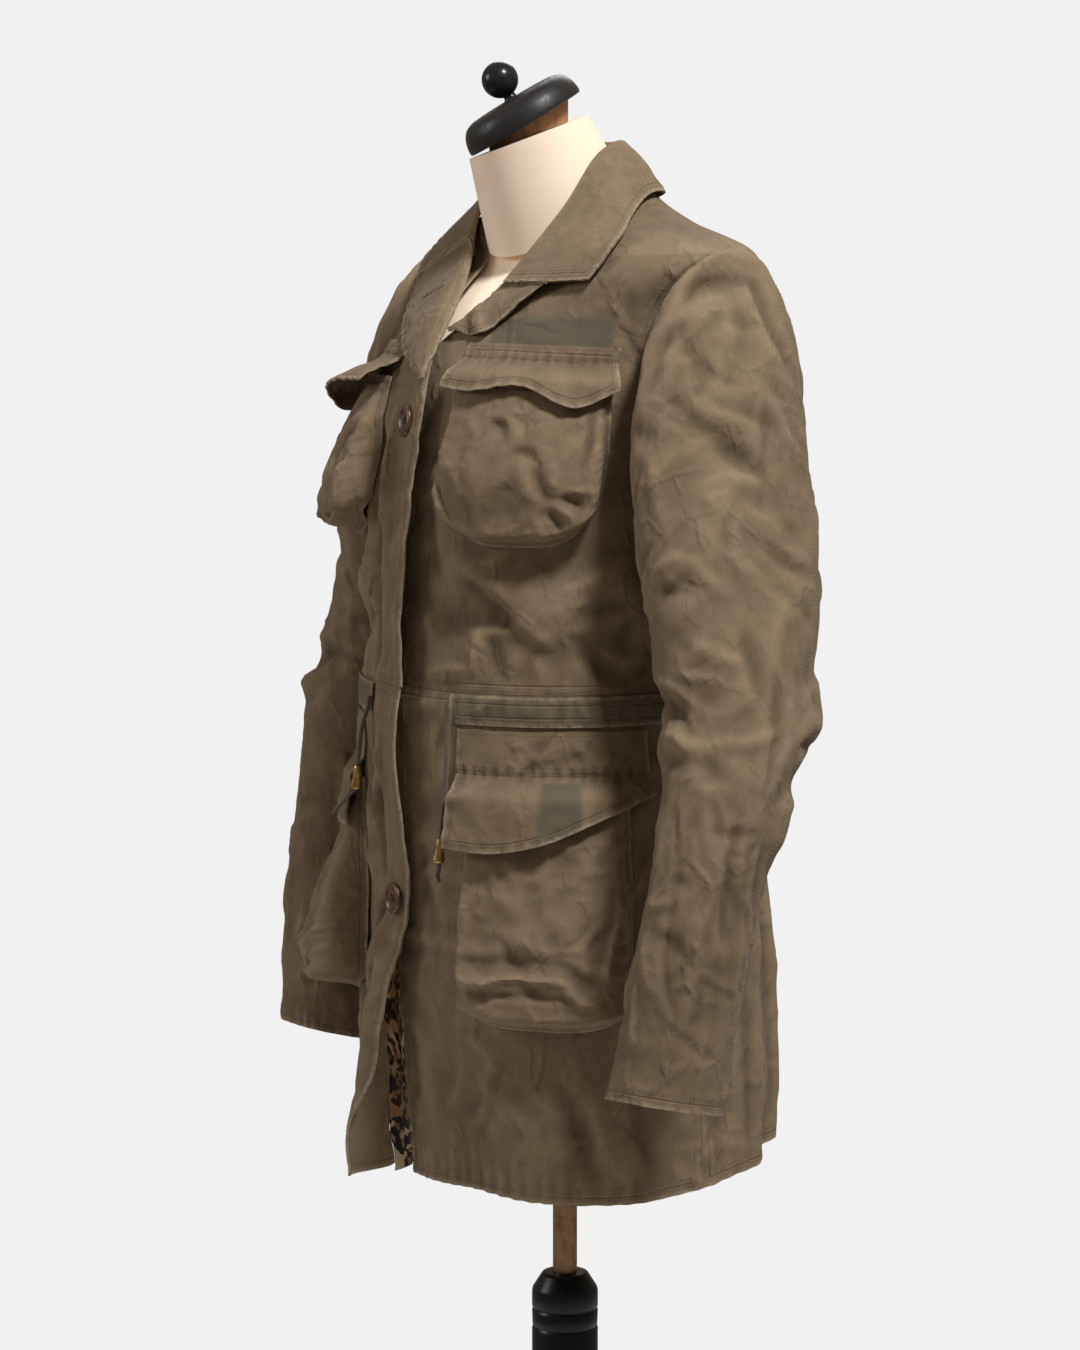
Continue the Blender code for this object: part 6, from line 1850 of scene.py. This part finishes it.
def stitchTree(material):
    tree = bpy.data.node_groups.new("stitchRows", "GeometryNodeTree")
    inputs = {
        "Seams": "Geometry", "Pitch": "Float", "Stitch length": "Float", "Thread thickness": "Float",
        "Seed": "Int",
    }
    for name, kind in inputs.items():
        tree.interface.new_socket(name, in_out="INPUT", socket_type="NodeSocket" + kind)
    tree.interface.new_socket("Stitches", in_out="OUTPUT", socket_type="NodeSocketGeometry")

    def add(kind, feeds, **values):
        node = tree.nodes.new(kind)
        for key, value in values.items():
            setattr(node, key, value)
        for key, feed in feeds.items():
            if isinstance(feed, bpy.types.NodeSocket):
                tree.links.new(feed, node.inputs[key])
            else:
                node.inputs[key].default_value = feed
        return node.outputs

    given = add("NodeGroupInput", {})
    guide = {"Curve": given["Seams"], "Length": given["Pitch"]}
    points = add("GeometryNodeCurveToPoints", guide, mode="LENGTH")
    ball = add("GeometryNodeMeshIcoSphere", {"Radius": 0.5, "Subdivisions": 1})
    turn = add("FunctionNodeAlignRotationToVector", {"Vector": points["Tangent"]}, axis="X")
    vary = add("FunctionNodeRandomValue", {2: 0.85, 3: 1.12, "Seed": given["Seed"]}, data_type="FLOAT")
    long = add("ShaderNodeMath", {0: given["Stitch length"], 1: vary[1]}, operation="MULTIPLY")
    thread = given["Thread thickness"]
    size = add("ShaderNodeCombineXYZ", {"X": long[0], "Y": thread, "Z": thread})
    place = add("GeometryNodeInstanceOnPoints", {
        "Points": points["Points"], "Instance": ball["Mesh"], "Rotation": turn["Rotation"],
        "Scale": size["Vector"],
    })
    real = add("GeometryNodeRealizeInstances", {"Geometry": place["Instances"]})
    paint = add("GeometryNodeSetMaterial", {"Geometry": real["Geometry"], "Material": material})
    add("NodeGroupOutput", {"Stitches": paint["Geometry"]})
    return tree


def makeStitches(name, lines, sizes, material):
    guide = curveThrough(name + "Guide", lines)
    tree = stitchTree(material)
    rows = guide.modifiers.new("stitches", "NODES")
    rows.node_group = tree
    wanted = {
        "Pitch": sizes["pitch"], "Stitch length": sizes["length"], "Thread thickness": sizes["thread"],
        "Seed": sizes["seed"],
    }
    for item in tree.interface.items_tree:
        if item.item_type == "SOCKET" and item.name in wanted:
            rows[item.identifier] = wanted[item.name]
    bpy.context.view_layer.update()
    mesh = bpy.data.meshes.new_from_object(guide.evaluated_get(bpy.context.evaluated_depsgraph_get()))
    guide.modifiers.remove(rows)
    bpy.data.objects.remove(guide)
    mesh.name = name
    mesh.shade_smooth()
    piece = placed(name, mesh)
    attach(piece, "root")
    print(name, len(mesh.polygons), "faces")
    return piece


# How far a row runs from its edge: a pair at a felled seam, a hem, the band of the closing, and so on
rowAway = {
    "felled": (0.0030, 0.0092), "closing": (0.0030, 0.0205), "seam": 0.0024, "hem": 0.0110,
    "cuff": (0.0095, 0.0110), "collar": (0.0034, 0.0098), "flap": 0.0055, "chestBand": 0.0115,
    "hipBand": 0.0310, "bag": 0.0022, "gusset": 0.0165, "casing": 0.0022,
}


def seamRows():
    lines = []
    for name in ("frontRight", "skirtRight", "frontLeft", "skirtLeft"):
        lines += [lineAt(name, "colStart", away) for away in rowAway["closing"]]
    for name in ("frontRight", "frontLeft", "backPanel"):
        lines += [lineAt(name, "rowStart", rowAway["seam"])]
        lines += [lineAt(name, "colEnd", away) for away in rowAway["felled"]]
    lines += [lineAt("backPanel", "colStart", away) for away in rowAway["felled"]]
    for name in ("skirtRight", "skirtLeft", "skirtBack"):
        lines += [lineAt(name, "rowEnd", rowAway["hem"])]
        lines += [lineAt(name, "colEnd", away) for away in rowAway["felled"]]
    for name in ("sleeveLeft", "sleeveRight"):
        lines += [lineAt(name, "rowEnd", away) for away in rowAway["cuff"]]
        lines += [columnLine(name, 0.895 + shift, 0.05, 0.985) for shift in (-0.008, 0.008)]
    for away in rowAway["collar"]:
        lines.append(lineAt("collarCloth", "rowEnd", away))
        lines += [lineAt("collarCloth", edge, away, 0.46, 1.0) for edge in ("colStart", "colEnd")]
    lines += [lineAt("lapelRight", "colEnd", 0.0034), lineAt("lapelLeft", "colEnd", 0.0030)]
    for side in ("Left", "Right"):
        for kind in ("chest", "hip"):
            flap, bag, band = kind + "Flap" + side, kind + "Bag" + side, rowAway[kind + "Band"]
            lines += [lineAt(flap, "rowEnd", rowAway["flap"])]
            lines += [lineAt(flap, edge, rowAway["flap"], 0.10) for edge in ("colStart", "colEnd")]
            lines += [lineAt(flap, "rowStart", away) for away in (rowAway["seam"], band, band - 0.0055)]
            lines += [lineAt(bag, edge, rowAway["bag"]) for edge in ("colStart", "colEnd", "rowEnd")]
            lines += [lineAt(bag, edge, rowAway["gusset"], 0.05, 0.93) for edge in ("colStart", "colEnd")]
            lines += [lineAt(bag, "rowEnd", rowAway["gusset"], 0.10, 0.90)]
    for name in ("casingLeft", "casingBack", "casingRight"):
        lines += [lineAt(name, edge, rowAway["casing"]) for edge in ("rowStart", "rowEnd")]
    lines += [lineAt("facingRight", "colEnd", 0.0030)]
    return lines


buttonhole = {
    "station": 0.65, "from": 0.019, "to": 0.042, "halfWidth": 0.0013, "edgeRadius": 0.0006,
    "slitRadius": 0.0004, "lift": 0.0002,
}


# The worked buttonhole that the right lapel carries near its roll line
def makeButtonhole(name):
    grid, normal = sewn["lapelRight"]["outer"], sewn["lapelRight"]["normal"]
    row = int(buttonhole["station"] * (len(grid) - 1))
    run = runLengths(grid, 1)[row]
    reach = np.linspace(buttonhole["from"], buttonhole["to"], 12)
    place = np.stack([np.interp(reach, run, grid[row, :, axis]) for axis in range(3)], axis=-1)
    lean = unit(np.stack([np.interp(reach, run, normal[row, :, axis]) for axis in range(3)], axis=-1))
    along = unit(place[-1] - place[0]) * buttonhole["halfWidth"]
    aside = unit(np.cross(lean, along)) * buttonhole["halfWidth"]
    slit = place + lean * buttonhole["lift"]
    loop = [*(slit + aside), slit[-1] + along, *(slit - aside)[::-1], slit[0] - along, slit[0] + aside[0]]
    tubes(name + "Edge", [loop], buttonhole["edgeRadius"], seamThread)
    tubes(name + "Slit", [list(slit)], buttonhole["slitRadius"], buttonThread)


# Build

for side in ("left", "right"):
    makeDrawstring(side)
makeFront(1, "frontLeft", "front_left")
makeFront(-1, "frontRight", "front_right")
makeBack("backPanel", "back")
makeSkirtFront(1, "skirtLeft", "skirt_left")
makeSkirtFront(-1, "skirtRight", "skirt_right")
makeSkirtBack("skirtBack", "skirt_back")
print("panels made")
makeSleeve(1, "sleeveLeft", "sleeve_left")
makeSleeve(-1, "sleeveRight", "sleeve_right")
makeCollar("collarCloth")
makeLapel(-1, "lapelRight", "lapel_right")
makeLapel(1, "lapelLeft", "lapel_left")
print("sleeves and collar made")
for word, side in (("left", 1), ("right", -1)):
    makeBag("chest", side, chestBag, "chestBag" + word.capitalize(), "chest_bag_" + word)
    makeBag("hip", side, hipBag, "hipBag" + word.capitalize(), "hip_bag_" + word)
    makeFlap("chest", side, chestFlap, "chestFlap" + word.capitalize(), "chest_flap_" + word)
    makeFlap("hip", side, hipFlap, "hipFlap" + word.capitalize(), "hip_flap_" + word)
makeCasing("casingLeft", "casing_left", 1, 20.6, 89.4)
makeCasing("casingBack", "casing_back", 1, 90.5, 269.5)
makeCasing("casingRight", "casing_right", -1, -14.7, -89.4)
makeFacing("facingRight")
makeLining("liningRight")
print("pockets, casing and lining made")
makeButton("buttonUpper", "button_upper", 0.5, 1.203, 0.0004)
makeButton("buttonLower", "button_lower", -1.6, 0.856, 0.0011)
makeButtonhole("buttonhole")
makeForm()
makeNeckHardware()
makeStand()
makeStitches("seamStitches", seamRows(), stitching, seamThread)
print("form, stand and stitches made")

meshes = [piece for piece in bpy.context.scene.objects if piece.type == "MESH" and not piece.hide_render]
print("faces in all", sum(len(piece.data.polygons) for piece in meshes))
bpy.context.view_layer.update()
